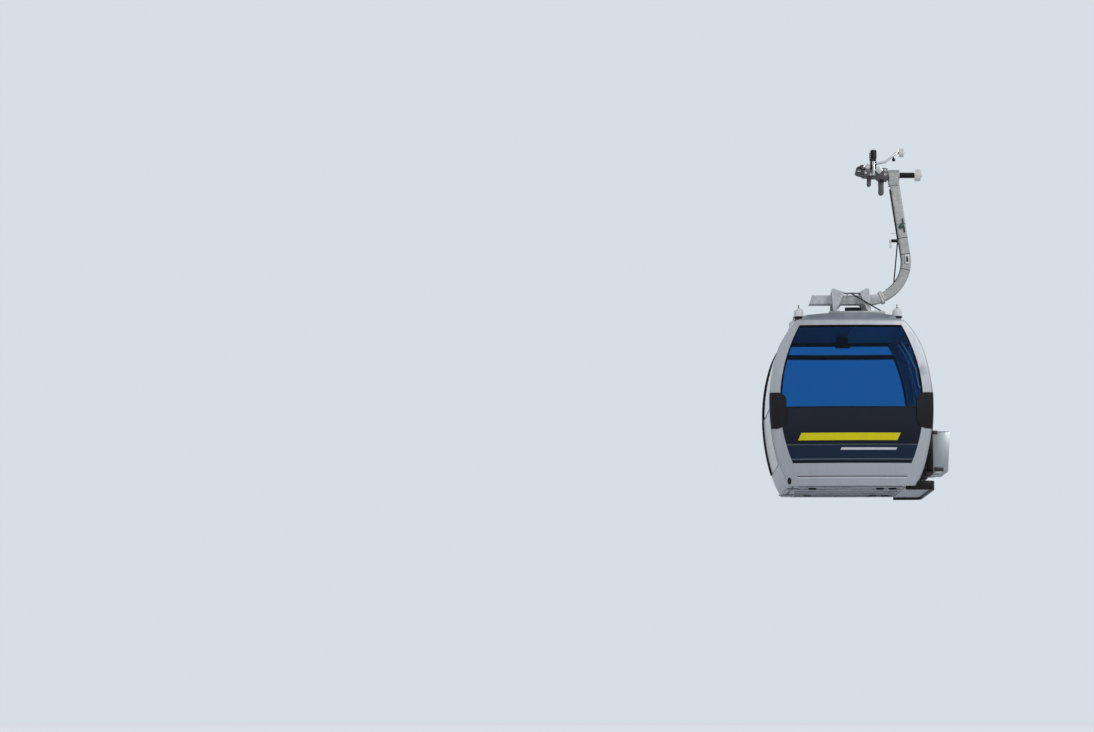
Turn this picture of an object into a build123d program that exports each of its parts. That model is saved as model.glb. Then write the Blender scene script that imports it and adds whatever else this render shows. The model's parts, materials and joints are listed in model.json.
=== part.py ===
"""Eight-seat gondola cabin with its hanger and spring grip, in millimetres.

The origin is the rope's centre in the grip's jaws. +Y runs along the rope, +Z is up, and the
doors are on the +X side. The cabin's own pieces are drawn about its centre plane and then moved
to cabin_x, so x is measured from the cabin's centre in every function that draws the cabin.
Pieces of both ends and both sides are drawn once, at the rear or on the door side, and mirrored.
"""
from build123d import *
from math import asin, cos, degrees, radians, sin, sqrt
import os

# Rope and jaws
rope_radius = 26.0
jaw_wall = 15.0
jaw_length = 220.0
jaw_gap = 6.0                # between the closed jaws' lips
jaw_step = 2.0               # the moving jaw is this much shorter at each end
jaw_radius = rope_radius + jaw_wall

# Grip
grip_length = 200.0          # the casting, along the rope
ear_wall = 24.0              # the two ears that carry the lever's pin
ear_radius = 32.0
hub_radius = 28.0
hub_gap = 3.0                # between the lever's hub and each ear
lever_x = jaw_radius + 57.0
lever_z = 34.0
lever_pin_radius = 16.0
lever_width = 40.0
lever_bar = 26.0             # height of the control arm's bar
spring_x = lever_x + 73.0
spring_y = 64.0
spring_radius = 35.0
spring_turns = 8
spring_seat_z = 24.0
spring_cap_z = 146.0
spring_cap_radius = 38.0
spring_cap_height = 98.0
casting_top = 22.0
casting_low = -114.0
plate_x, plate_z = 231.0, -5.0   # the square guide plate on each side of the casting
plate_side = 75.0
plate_wall = 20.0
stub_size = 50.0             # the stub under the casting
stub_low = 46.0              # its round end's centre, below the casting
tongue_x = 260.0
tongue_width = 66.0
tongue_low = -258.0          # its round end's centre
tongue_wall = 44.0

# Shaft, sleeve and rollers
swing_z = -50.0              # the shaft on which the hanger swings
shaft_radius = 30.0
shaft_start = 250.0
shaft_end = 741.0
running_fit = 0.05           # radial, on every shaft that turns
sleeve_radius = 33.0
sleeve_gap = 3.0
runner_radius = 70.0
runner_width = 71.0
runner_end = 729.0
lever_roller_radius = 50.0
lever_roller_x = (475.0, 533.0)
lever_roller_z = 221.0
lever_stub_radius = 14.0

# Hanger
head_x = 412.0
head_width = 130.0           # the bearing head, across the line
head_radius = 64.0
head_clearance = 6.0         # from the casting's boss
arm_size = 108.0
arm_depth = 100.0
arm_round = 14.0
arm_lean = 8.0               # degrees that the straight leg leans out on its way down
arm_straight_end = -1020.0
beam_height = 116.0
beam_z = -1545.0             # the beam's centre line
beam_left = -610.0
beam_slant = 38.0            # the beam's left end is cut at a slant
beam_joint = 20.7            # degrees round the bend where the arm's flange sits
flange_wall = 14.0
flange_rim = 16.0            # how far the flanges stand round the beam
cable_radius = 8.0           # the cable that works the doors
cable_below_head = 100.0
cable_leave = 0.78           # share of the leg along which it is clamped
cable_meet = 52.0            # degrees round the bend where it meets the arm again
stub_radius = 17.0           # the stub on the arm that carries the doors' lever
stub_length = 88.0
stub_x, stub_z = 473.0, -835.0
lever_hook = 26.0            # width of the lever's bent bar

# Yokes, ties and rails between beam and roof
yoke_width = 42.0
yoke_rise = 72.0             # the yokes' crowns stand this high over the beam
yoke_crown = 84.0            # half width of a crown
yoke_leg = 52.0
yoke_foot_y = 330.0
yoke_web = 12.0
rubber_height = 34.0
rubber_half = 45.0
yokes = (                    # name, x, which way its web faces, the web's width
    ("left_yoke", -322.0, 1, 105.0),
    ("right_yoke", 76.0, -1, 70.0),
)
tie_y = 103.0
tie_size = 14.0
tie_rise = 12.0              # over the beam
brace_radius = 8.0
brace_foot_y = 412.0
brace_ends = ((-150.0, -340.0), (-120.0, 205.0))   # x at the tie, x at the foot
rail_rise = 6.0              # over the roof's crown
rail_ends = (-400.0, 255.0)
rail_margins = (36.0, 92.0)  # inside and outside the yokes' feet
buffer_gap = 30.0            # between the roof buffer and the beam
buffer_x = -85.0
buffer_length, buffer_width = 200.0, 90.0
rail_sink = 80.0             # what stands on the roof is drawn from this far below its crown

# Cabin
cabin_x = -190.0
cabin_length = 1970.0        # at the belt
cabin_width = 1860.0         # at the belt
cabin_height = 1910.0        # from the roof's edge to the sill
roof_drop = 190.0            # the roof's crown below the beam's centre line
roof_rise = 158.0            # the crown over the roof's edge
header_tuck = 315.0          # the roof's edge, in from the belt's half width
end_radius = 6000.0          # both ends are parts of large spheres
belt_drop = 957.0            # the widest line, below the roof's edge
window_margin = 64.0         # the end window below the roof's edge
window_below_belt = 58.0
skirt_height = 253.0         # the silver skirt below the end's panel
crease_height = 210.0        # the panel's crease over the skirt
crease_depth = 4.0           # the panel steps back below its crease
frame_split_drop = 110.0     # the upper and lower frames meet this far below the belt
frame_wall = 60.0
frame_side = 115.0           # how far a frame runs back along the cabin's side
side_strip = 50.0
corner_round = 28.0
header_round = 40.0
seam = 0.3
wall = 40.0
glass = 8.0
glass_inset = 6.0
side_glass_inset = 4.0
panel_wall = 34.0
side_panel_inset = 2.0
vent_height = 128.0          # the rear end's opening pane
vent_bar_height = 47.0
vent_bar_wall = 30.0
side_rail_drop = 92.0        # lower edge of the rail under the roof
groove_rise = 103.0          # the groove in the skirt, over the sill
groove_margin = 310.0        # the groove's ends, in from the belt's half width
groove_width = 9.0
groove_depth = 7.0
floor_rise = 58.0            # the floor's surface over the sill
floor_wall = 30.0
post = 40.0                  # the posts beside the door opening

beam_top = beam_z + beam_height / 2
roof_top = beam_z - roof_drop
header_z = roof_top - roof_rise
belt_z = header_z - belt_drop
sill_z = header_z - cabin_height
window_top = header_z - window_margin
window_bottom = belt_z - window_below_belt
panel_bottom = sill_z + skirt_height
frame_split = belt_z - frame_split_drop
side_rail_low = header_z - side_rail_drop
floor_z = sill_z + floor_rise
end_reach = cabin_length / 2
header_half = cabin_width / 2 - header_tuck
end_depth = 425.0            # every piece of an end lies within this of its tip

# drop below the roof's edge, tuck in from the belt's half width, width of the end's frame
section = (
    (0.0, header_tuck, 67.0),
    (402.0, 80.0, 121.0),
    (belt_drop, 0.0, 113.0),
    (1587.0, 78.0, 149.0),
    (cabin_height, 210.0, 162.0),
)

# Corner bumpers
bumper_top = 110.0           # over the belt
bumper_bottom = 305.0        # below the belt
bumper_width = 187.0         # across the frame's leg and onto the panel
bumper_proud = 8.0
bumper_start = 147.0         # from the end's tip, along the side
bumper_rounds = (95.0, 125.0)   # of the upper and lower corners

# Roof and caps
roof_lip = 16.0
lip_margin = 32.0            # the roof's edge inside the header's
roof_radius_x = 4200.0
roof_radius_y = 5000.0
roof_wall = 30.0
crown_margin = 43.0          # the crown stands this far inside the lip
crown_shoulder = 60.0        # radius of its long edges
ceiling_drop = 57.0
ceiling_wall = 12.0
unit_x, unit_y = -10.0, 305.0   # the unit under the ceiling
unit_length, unit_width, unit_height = 100.0, 140.0, 78.0
cap_margin_x = 45.0          # a cap's centre, in from the roof's edge
cap_margin_y = 465.0         # and from the end's tip
cap_radius = 38.0
cap_height = 96.0
cap_ring = 48.0              # radius of the rubber buffer under a cap
cap_stand = 80.0             # and its height over the roof's lip

# Doors
door_opening = 405.0         # half the opening's length
door_overlap = 20.0          # a leaf over the opening's edge
door_gap = 7.0               # between a leaf and the wall outside which it slides
door_wall = 40.0
door_drop = 97.0             # a leaf's top below the roof's edge
door_rise = 88.0             # a leaf's bottom over the sill
door_middle_gap = 5.0        # between the shut leaves
leaf_frame = 62.0
leaf_recess = 7.0
recess_drop = 80.0           # the recess below the window's bottom
recess_rise = 90.0           # and over the leaf's bottom
carrier_wall = 12.0          # the plates on a leaf's top edge that run in the rail
carrier_length = 90.0
carrier_starts = (80.0, 260.0)
carrier_rise = 45.0
carrier_gap = 0.5
rail_past_opening = 220.0
rail_wall = 60.0
rail_low_gap = 14.0          # between the rail and the leaf's top

# Ski racks on the leaves
rack_gap = 45.0              # outside the belt
rack_depth = 200.0
rack_drop = 300.0            # top below the belt
rack_height = 455.0
rack_lean = 28.0             # the outer wall leans out towards its top
rack_margins = (60.0, 45.0)  # its ends, in from the shut leaf's inner and outer edges
rack_wall = 6.0
rack_side = 26.0
rack_floor = 20.0
rack_pockets = 3
rack_bars = (65.0, 370.0)    # drop of each bar below the rack's top
rack_bar_size = 42.0

# Step, guide and underframe
low_margin = 185.0           # their ends, in from the cabin's tips
step_past_belt = 20.0        # the step's edge outside the belt
step_rise = 55.0             # its top over the sill
step_wall = 68.0
step_round = 85.0
step_edge_wall = 24.0
step_edge_high = 8.0         # how far the rubber edge stands over the board
step_edge_low = 29.0         # and hangs below it
guide_inside_belt = 155.0    # the guide bar's edge inside the belt
guide_radius = 12.0
guide_half = 450.0           # half its length
guide_reach = 175.0          # its ends turn in this far, under the pan
guide_bend = 60.0
pan_margin = 30.0
pan_border = 60.0            # beside the underframe's recesses
rib_count = 5
rib_depth = 14.0
rib_width = 60.0

# Seats
seat_height = 450.0          # over the floor
seat_wall = 55.0
seat_margin = 210.0          # a bench's end, in from the belt's half width
seat_depth = 565.0           # its front edge, in from the end's tip
seat_round = 60.0
seat_gap = 12.0              # between a bench and the wall
seat_bracket_x = 390.0
seat_bracket_wall = 30.0
seat_bracket_height = 275.0
seat_bracket_back = 60.0     # behind the bench's front edge
back_wall = 50.0
back_margin = 230.0
back_round = 70.0
back_drop = 80.0             # top below the belt

parts = {}


def keep(name, shape):
    """Store a piece of the grip or hanger under its node's name."""
    parts[name] = shape


def keep_cabin(name, shape):
    """Store a piece of the cabin, moved from the cabin's centre plane to its place."""
    parts[name] = Pos(cabin_x, 0, 0) * shape


def both_sides(shape):
    """A piece of the door side and its twin on the other side."""
    return shape + mirror(shape, about=Plane.YZ)


def front_and_rear(shape):
    """A piece of the rear half and its twin in the front half."""
    return shape + mirror(shape, about=Plane.XZ)


def block(x0, x1, y0, y1, z0, z1):
    return Pos((x0 + x1) / 2, (y0 + y1) / 2, (z0 + z1) / 2) * Box(x1 - x0, y1 - y0, z1 - z0)


def across(outline, y0, y1):
    """Extrude an outline drawn in x and z from y0 to y1."""
    return Pos(0, y0, 0) * extrude(Plane.XZ * outline, y1 - y0, dir=(0, 1, 0))


def along(outline, x0, x1):
    """Extrude an outline drawn in y and z from x0 to x1."""
    return Pos(x0, 0, 0) * extrude(Plane.YZ * outline, x1 - x0, dir=(1, 0, 0))


def rod_x(radius, x0, x1, y=0.0, z=0.0):
    return Pos((x0 + x1) / 2, y, z) * Rot(0, 90, 0) * Cylinder(radius, x1 - x0)


def rod_y(radius, y0, y1, x=0.0, z=0.0):
    return Pos(x, (y0 + y1) / 2, z) * Rot(90, 0, 0) * Cylinder(radius, y1 - y0)


def upright(radius, height, x, y, z):
    """A standing cylinder on a point."""
    return Pos(x, y, z) * Cylinder(radius, height, align=(Align.CENTER, Align.CENTER, Align.MIN))


def rod_between(start, end, radius):
    start, end = Vector(*start), Vector(*end)
    return Plane(start, z_dir=end - start) * Cylinder(
        radius, (end - start).length, align=(Align.CENTER, Align.CENTER, Align.MIN))


def polygon(*points):
    return make_face(Polyline(*points, close=True))


def bar(points, width):
    """A flat bar's outline along a bent centre line, with round ends."""
    outline = Sketch()
    for start, end in zip(points, points[1:]):
        run = Vector(*end) - Vector(*start)
        middle = (Vector(*start) + Vector(*end)) / 2
        turn = Vector(1, 0, 0).get_signed_angle(run, Vector(0, 0, 1))
        outline = outline + Pos(middle) * Rot(0, 0, turn) * SlotCenterToCenter(run.length, width)
    return outline


# The cabin's cross-section

FAR = 2000.0                 # beyond every piece of the cabin


def curved_outline(halves):
    """The cabin seen from its end: tangent arcs up and down from the belt, mirrored."""
    top, upper, belt, lower, bottom = [
        (half, header_z - drop) for half, (drop, tuck, post_width) in zip(halves, section)]
    up = TangentArc(belt, upper, tangent=(0, 1))
    shoulder = TangentArc(upper, top, tangent=up % 1)
    down = TangentArc(belt, lower, tangent=(0, -1))
    tuck_in = TangentArc(lower, bottom, tangent=down % 1)
    side = [up, shoulder, down, tuck_in]
    other = [mirror(edge, about=Plane.YZ) for edge in side]
    lid = Line(top, (-top[0], top[1]))
    base = Line(bottom, (-bottom[0], bottom[1]))
    return make_face(Curve() + side + other + [lid, base])


def body_outline(grow=0.0):
    """The outer section, grown sideways; its roof corners are rounded where there is room."""
    outline = curved_outline([cabin_width / 2 - tuck + grow for drop, tuck, post_width in section])
    corners = [vertex for vertex in outline.vertices() if vertex.Y > header_z - 1]
    rounding = header_round + grow
    return fillet(corners, rounding) if rounding > 0 else outline


def glass_outline(grow=0.0):
    """The outline of the end's glass and panel, inside the frame."""
    return curved_outline([cabin_width / 2 - tuck - post_width + grow
                           for drop, tuck, post_width in section])


def band(high, low, half=FAR):
    """What lies between two heights."""
    return Pos(0, (high + low) / 2) * Rectangle(2 * half, high - low)


def right_band(high, low):
    """The door side's half of what lies between two heights."""
    return Pos(FAR / 2, (high + low) / 2) * Rectangle(FAR, high - low)


def half_width(z, grow=0.0):
    """Half the cabin's width at a height."""
    return (body_outline(grow).face() & Line((0, z), (FAR, z))).bounding_box().max.X


def end_sphere(depth):
    """The rear end's surface, or one that lies depth behind it."""
    return Pos(0, end_reach - end_radius, belt_z) * Sphere(end_radius - depth)


def both_ends(depth):
    """What lies between the two ends' inner surfaces at this depth."""
    rear = end_sphere(depth)
    return rear & mirror(rear, about=Plane.XZ)


def at_end(outline):
    """An outline extruded through the rear end's whole depth."""
    return across(outline, end_reach - end_depth, end_reach + bumper_proud + 5)


def side_wall(skin, thickness, high, low, y0, y1):
    """A curved piece of the door side's wall; skin is how far it stands outside the section."""
    ring = body_outline(skin) - body_outline(skin - thickness)
    return across(ring & right_band(high, low), y0, y1)


def level(z0, z1, half=FAR):
    """A slab between two heights."""
    return block(-half, half, -FAR, FAR, z0, z1)


# The ends


def rounded_end(grow):
    """The whole rear end as a solid with rounded corners, grow larger than the frame."""
    blank = at_end(body_outline(grow)) & end_sphere(-grow)
    skin = blank.faces().filter_by(GeomType.SPHERE)[0]
    rim = [edge for edge in skin.edges() if edge.center().Z > sill_z - grow + 1]
    return fillet(rim, corner_round + grow)


def end_pane(high, low, depth, thickness):
    """A curved sheet inside the rear frame, between two heights."""
    sheet = at_end(glass_outline(-seam) & band(high, low))
    return (sheet & end_sphere(depth)) - end_sphere(depth + thickness)


def rear_frame():
    """The rear end's frame: a shell with its opening, legs that run back, and a groove."""
    blank = rounded_end(0)
    opening = glass_outline() & band(window_top, panel_bottom)
    shell = (blank - end_sphere(frame_wall)) - at_end(opening)
    strip = body_outline(corner_round) - body_outline(-side_strip)
    shell = shell + ((blank - end_sphere(frame_side)) & at_end(strip))
    groove_z = sill_z + groove_rise
    groove = band(groove_z + groove_width / 2, groove_z - groove_width / 2,
                  cabin_width / 2 - groove_margin)
    return shell - (at_end(groove) - end_sphere(groove_depth))


def bumper(side):
    """A rubber corner bumper that wraps one of the rear frame's legs at the belt."""
    high, low = belt_z + bumper_top, belt_z - bumper_bottom
    outline = body_outline(2 * bumper_proud) - body_outline(-bumper_width)
    outline = outline & (Pos(side * FAR / 2, (high + low) / 2) * Rectangle(FAR, high - low))
    wrap = across(outline, end_reach - bumper_start, end_reach + 2 * bumper_proud)
    for edge_z, radius in zip((high, low), bumper_rounds):
        corners = [edge for edge in wrap.edges().filter_by(Axis.Y)
                   if abs(edge.center().Z - edge_z) < 1]
        wrap = fillet(min(corners, key=lambda edge: abs(edge.center().X)), radius)
    return (wrap & rounded_end(bumper_proud)) - rounded_end(seam)


frame = rear_frame()
bar_top = window_top - vent_height
bar_bottom = bar_top - vent_bar_height
panel = end_pane(window_bottom, panel_bottom + seam, glass_inset, panel_wall)
crease = at_end(band(panel_bottom + crease_height, panel_bottom))
crease = crease - end_sphere(glass_inset + crease_depth)
mirrored_pieces = (
    ("upper_frame", frame & level(frame_split + seam, header_z + 1)),
    ("lower_frame", frame & level(sill_z - 1, frame_split)),
    ("panel", panel - crease),
)
for name, piece in mirrored_pieces:
    keep_cabin("rear_" + name, piece)
    keep_cabin("front_" + name, mirror(piece, about=Plane.XZ))
window = end_pane(window_top - seam, window_bottom + seam, glass_inset, glass)
keep_cabin("front_window", mirror(window, about=Plane.XZ))
keep_cabin("rear_window", end_pane(bar_bottom - seam, window_bottom + seam, glass_inset, glass))
keep_cabin("rear_vent_pane", end_pane(window_top - seam, bar_top + seam, glass_inset, glass))
keep_cabin("rear_vent_bar", end_pane(bar_top, bar_bottom, glass_inset - 2, vent_bar_wall))
rear_bumpers = bumper(-1) + bumper(1)
keep_cabin("corner_bumpers", rear_bumpers + Rot(0, 0, 180) * rear_bumpers)

# The sides: rails above and below, glass and panels between them

between_frames = both_ends(frame_side + seam)


def side_piece(skin, thickness, high, low, y0=-end_reach, y1=end_reach):
    return side_wall(skin, thickness, high, low, y0, y1) & between_frames


def other_side(shape):
    return mirror(shape, about=Plane.YZ)


left_window = side_piece(-side_glass_inset, glass, side_rail_low - seam, window_bottom + seam)
left_panel = side_piece(-side_panel_inset, panel_wall, window_bottom, panel_bottom)
keep_cabin("roof_side_rails", both_sides(side_piece(0, wall, header_z, side_rail_low)))
keep_cabin("left_window", other_side(left_window))
keep_cabin("left_panel", other_side(left_panel))
keep_cabin("sills", other_side(side_piece(0, wall, panel_bottom - seam, sill_z))
           + side_piece(0, wall, floor_z, sill_z))

post_end = door_opening + post
post_piece = side_piece(0, wall, side_rail_low - seam, floor_z + seam, door_opening, post_end)
corner_window = side_piece(-side_glass_inset, glass, side_rail_low - seam, window_bottom + seam,
                           post_end + seam)
corner_panel = side_piece(-side_panel_inset, panel_wall, window_bottom, floor_z + seam,
                          post_end + seam)
keep_cabin("door_posts", front_and_rear(post_piece))
keep_cabin("corner_windows", front_and_rear(corner_window))
keep_cabin("corner_panels", front_and_rear(corner_panel))

# Roof, ceiling and floor

lip_half = header_half - lip_margin
crown_half = lip_half - crown_margin
crown_inset = lip_margin + crown_margin


def roof_dome(lowering, half, shoulder):
    """A crowned solid with round shoulders; half is its half width."""
    crown_z = roof_top - lowering
    drop = roof_radius_x - sqrt(roof_radius_x ** 2 - half ** 2)
    base = header_z - roof_rise
    arc = ThreePointArc((-half, crown_z - drop), (0, crown_z), (half, crown_z - drop))
    face = make_face(Curve() + [arc, Polyline((half, crown_z - drop), (half, base),
                                              (-half, base), (-half, crown_z - drop))])
    face = fillet([corner for corner in face.vertices() if corner.Y > header_z], shoulder)
    centre_z = crown_z - roof_radius_y
    half_turn = degrees(asin(end_reach / (base - centre_z)))
    turned = revolve(Plane.XZ * face, axis=Axis((0, 0, centre_z), (1, 0, 0)),
                     revolution_arc=2 * half_turn)
    dome = Pos(0, 0, centre_z) * Rot(-half_turn, 0, 0) * Pos(0, 0, -centre_z) * turned
    return dome & block(-FAR, FAR, -end_reach, end_reach, header_z, crown_z + 5)


lip_outline = band(header_z + roof_lip, header_z + seam, lip_half)
lip = across(lip_outline, -end_reach, end_reach) & both_ends(lip_margin)
crown = roof_dome(0, crown_half, crown_shoulder) & both_ends(crown_inset)
hollow = roof_dome(roof_wall, crown_half - roof_wall, crown_shoulder - roof_wall)
hollow = hollow & both_ends(crown_inset + roof_wall)
keep_cabin("roof", (lip + crown) - hollow)

inside = across(body_outline(-wall - seam), -end_reach, end_reach) & between_frames
ceiling_z = header_z - ceiling_drop
keep_cabin("ceiling", inside & level(ceiling_z, ceiling_z + ceiling_wall))
unit = Box(unit_width, unit_length, unit_height)
keep_cabin("ceiling_unit", Pos(unit_x, unit_y, ceiling_z - seam - unit_height / 2)
           * fillet(unit.edges().filter_by(Axis.Z), 15))
keep_cabin("floor", inside & level(floor_z - floor_wall, floor_z))

low_half = end_reach - low_margin
pan_top = floor_z - floor_wall - seam
pan = across(body_outline(-wall - pan_margin), -low_half, low_half) & level(sill_z, pan_top)
pan = pan & both_ends(frame_wall + seam)
bay_x = half_width(sill_z + 1) - wall - pan_margin - pan_border
for rib in range(rib_count):
    middle = (rib - (rib_count - 1) / 2) * 2 * low_half / rib_count
    bay_y = low_half / rib_count - rib_width / 2
    pan = pan - block(-bay_x, bay_x, middle - bay_y, middle + bay_y, sill_z - 1,
                      sill_z + rib_depth)
keep_cabin("underframe", pan)

# Caps on the roof

cap_x, cap_y = header_half - cap_margin_x, end_reach - cap_margin_y
lip_top = header_z + roof_lip
cap = upright(cap_radius, cap_height, cap_x, cap_y, lip_top + cap_stand)
cap = fillet(cap.edges().group_by(Axis.Z)[-1], cap_radius * 0.6)
ring = upright(cap_ring, cap_stand - seam, cap_x, cap_y, lip_top + seam)
roof_skin = roof_dome(-seam, crown_half + seam, crown_shoulder + seam)
keep_cabin("corner_caps", both_sides(front_and_rear(cap)))
keep_cabin("cap_rings", both_sides(front_and_rear(ring)) - roof_skin)

# Step at the doors, guide on the other side

body_hull = across(body_outline(seam), -end_reach, end_reach)
step_reach = cabin_width / 2 + step_past_belt
step_top = sill_z + step_rise
step_low = step_top - step_wall


def step_outline(margin):
    """The step seen from above, margin inside its outer edge."""
    width = step_reach / 2
    return Pos(step_reach - margin - width / 2, 0) * RectangleRounded(
        width, 2 * (low_half - margin), step_round - margin)


under_cabin = block(-FAR, header_half, -FAR, FAR, step_low - 100, step_top + 100)
board = Pos(0, 0, step_low) * extrude(step_outline(step_edge_wall + seam), step_wall)
edge = extrude(step_outline(0) - step_outline(step_edge_wall),
               step_edge_low + step_wall + step_edge_high)
edge = Pos(0, 0, step_low - step_edge_low) * edge
keep_cabin("step", board - body_hull - under_cabin)
keep_cabin("step_edge", edge - body_hull - under_cabin)

guide_x = -cabin_width / 2 + guide_inside_belt + guide_radius
guide_z = sill_z - seam - guide_radius
guide_path = FilletPolyline(
    (guide_x + guide_reach, -guide_half, guide_z), (guide_x, -guide_half, guide_z),
    (guide_x, guide_half, guide_z), (guide_x + guide_reach, guide_half, guide_z),
    radius=guide_bend)
guide_section = Plane(guide_path @ 0, z_dir=guide_path % 0) * Circle(guide_radius)
keep_cabin("left_guide", sweep(guide_section, path=guide_path))

# Seats

seat_top = floor_z + seat_height
seat_low = seat_top - seat_wall
behind_panel = end_sphere(glass_inset + panel_wall + seam)

seat_front = end_reach - seat_depth
seat_plan = Pos(0, end_reach - seat_depth / 2) * RectangleRounded(
    cabin_width - 2 * seat_margin, seat_depth, seat_round)
seat = Pos(0, 0, seat_low) * extrude(seat_plan, seat_wall)
seat = seat & across(body_outline(-wall - seat_gap), seat_front, end_reach) & behind_panel
bracket = polygon((seat_front + seat_bracket_back, seat_low), (end_reach, seat_low),
                  (end_reach, seat_low - seat_bracket_height))
bracket = along(bracket, seat_bracket_x, seat_bracket_x + seat_bracket_wall)
bench = seat + (both_sides(bracket) & end_sphere(frame_wall + seam))
back_outline = band(belt_z - back_drop, seat_top + seam, cabin_width / 2 - back_margin)
back = at_end(fillet(back_outline.vertices(), back_round))
back = (back & behind_panel) - end_sphere(glass_inset + panel_wall + back_wall)
for name, piece in (("seat", bench), ("backrest", back)):
    keep_cabin("rear_" + name, piece)
    keep_cabin("front_" + name, mirror(piece, about=Plane.XZ))

# Doors, hung outside the wall, with a ski rack on each leaf

door_top = header_z - door_drop
door_bottom = sill_z + door_rise
door_width = door_opening + door_overlap
leaf_skin = door_gap + door_wall
carrier_x = half_width(door_top, leaf_skin - door_wall / 2)
carrier_x0, carrier_x1 = carrier_x - carrier_wall / 2, carrier_x + carrier_wall / 2
carrier_top = door_top + carrier_rise
light_bottom = window_bottom - 20


def leaf_inset(skin, thickness, high, low, gap=0.0):
    """A piece inside the leaf's border, gap smaller all round."""
    return side_wall(skin, thickness, high - gap, low + gap,
                     door_middle_gap / 2 + leaf_frame + gap, door_width - leaf_frame - gap)


def door_leaf():
    """The rear leaf: a curved frame with its window cut, a recess below and two carriers."""
    wall_side = across(body_outline(door_gap), -end_reach, end_reach)
    leaf = side_wall(leaf_skin, door_wall, door_top, door_bottom, door_middle_gap / 2, door_width)
    leaf = leaf - leaf_inset(leaf_skin + 5, door_wall + 10, door_top - leaf_frame, light_bottom)
    leaf = leaf - leaf_inset(leaf_skin + 5, leaf_recess + 5, window_bottom - recess_drop,
                             door_bottom + recess_rise)
    for start in carrier_starts:
        carrier = block(carrier_x0, carrier_x1, start, start + carrier_length,
                        door_top - door_wall, carrier_top)
        leaf = leaf + (carrier - wall_side)
    return leaf


def ski_rack():
    """An open-topped rack of pockets on the rear leaf, with two bars that carry it."""
    high = belt_z - rack_drop
    low = high - rack_height
    inner = cabin_width / 2 + rack_gap
    outer = inner + rack_depth
    y0, y1 = rack_margins[0], door_width - rack_margins[1]
    rack = across(polygon((inner, high), (outer, high + 10), (outer - rack_lean, low),
                          (inner, low)), y0, y1)
    pocket = (y1 - y0 - rack_wall) / rack_pockets - rack_wall
    for row in range(rack_pockets):
        start = y0 + rack_wall + row * (pocket + rack_wall)
        rack = rack - block(inner + rack_side, outer - rack_side - rack_lean / 2, start,
                            start + pocket, low + rack_floor, high + 60)
    for drop in rack_bars:
        rack = rack + block(header_half, inner, y0 + 60, y1 - 60,
                            high - drop - rack_bar_size, high - drop)
    recessed_leaf = body_outline(leaf_skin - leaf_recess + seam)
    return rack - across(recessed_leaf, -end_reach, end_reach)


leaf_pane = leaf_inset(leaf_skin - glass_inset, glass, door_top - leaf_frame, light_bottom, seam)
for name, piece in (("door", door_leaf()), ("door_pane", leaf_pane), ("ski_rack", ski_rack())):
    keep_cabin("rear_" + name, piece)
    keep_cabin("front_" + name, mirror(piece, about=Plane.XZ))

# Door rail: a hooded track above the leaves

rail_half = door_opening + rail_past_opening
rail_low = door_top + rail_low_gap
hood = side_wall(leaf_skin, rail_wall, header_z - 6, rail_low, -rail_half, rail_half)
track = block(carrier_x0 - carrier_gap, carrier_x1 + carrier_gap, -FAR, FAR,
              rail_low - 5, carrier_top + carrier_gap)
keep_cabin("door_rail", hood - body_hull - track)

# Hanger: bearing head, leaning leg, bend, flanges and beam

lean = radians(arm_lean)
bend_radius = (arm_straight_end - beam_z) / (1 + sin(lean))
arm_top_z = swing_z - 60
knee_x = head_x + (arm_top_z - arm_straight_end) * sin(lean) / cos(lean)
bend_x = knee_x - bend_radius * cos(lean)
knee_angle = 90 + arm_lean


def bend_point(angle, radius=bend_radius):
    """A point on the bend, angle measured from straight down towards the arm."""
    turn = radians(angle)
    return Vector(bend_x + radius * sin(turn), 0, beam_z + bend_radius - radius * cos(turn))


def box_tube(path, start, direction, height):
    """A rounded box section swept along a path in the x-z plane."""
    place = Plane(start, x_dir=(0, 1, 0), z_dir=direction)
    return sweep(place * RectangleRounded(arm_depth, height, arm_round), path=path)


def bend_arc(first, last):
    return ThreePointArc(bend_point(first), bend_point((first + last) / 2), bend_point(last))


def flange(side):
    """A bolted plate square to the bend, on one side of the joint."""
    size = beam_height + 2 * flange_rim
    plate = fillet(Box(flange_wall, arm_depth + 2 * flange_rim, size).edges().filter_by(Axis.X), 12)
    return Pos(bend_point(beam_joint)) * Rot(0, -beam_joint, 0) * Pos(
        side * flange_wall / 2, 0, 0) * plate


arm_top = Vector(head_x, 0, arm_top_z)
leg = Curve() + [Line(arm_top, bend_point(knee_angle)), bend_arc(knee_angle, beam_joint)]
arm = box_tube(leg, arm_top, bend_point(knee_angle) - arm_top, arm_size)
head_start, head_end = head_x - head_width / 2, head_x + head_width / 2
head = rod_x(head_radius, head_start, head_end, 0, swing_z)
cheek = block(head_start, head_end - 8, -head_radius, head_radius,
              swing_z - 2 * head_radius, swing_z)
head = head + fillet(cheek.edges().filter_by(Axis.Z), arm_round)
bore = rod_x(shaft_radius + running_fit, head_start - 1, head_end + 1, 0, swing_z)
keep("hanger_arm", (arm + head + flange(1)) - bore)

beam_start = Vector(beam_left, 0, beam_z)
run = Curve() + [Line(beam_start, bend_point(0)), bend_arc(0, beam_joint)]
beam = box_tube(run, beam_start, Vector(1, 0, 0), beam_height)
half_beam = beam_height / 2
slant = polygon((beam_left - 1, beam_z - half_beam), (beam_left - 1, beam_top + 1),
                (beam_left + beam_slant, beam_top + 1), (beam_left, beam_z - half_beam))
keep("carrying_beam", (beam - across(slant, -arm_depth, arm_depth)) + flange(-1))

# Yokes that stand on the roof's rails and hang from the beam by rubber blocks

yoke_top = beam_top + yoke_rise
crown_low = beam_top + rubber_height
rail_top = roof_top + rail_rise
foot_z = rail_top + seam


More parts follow.
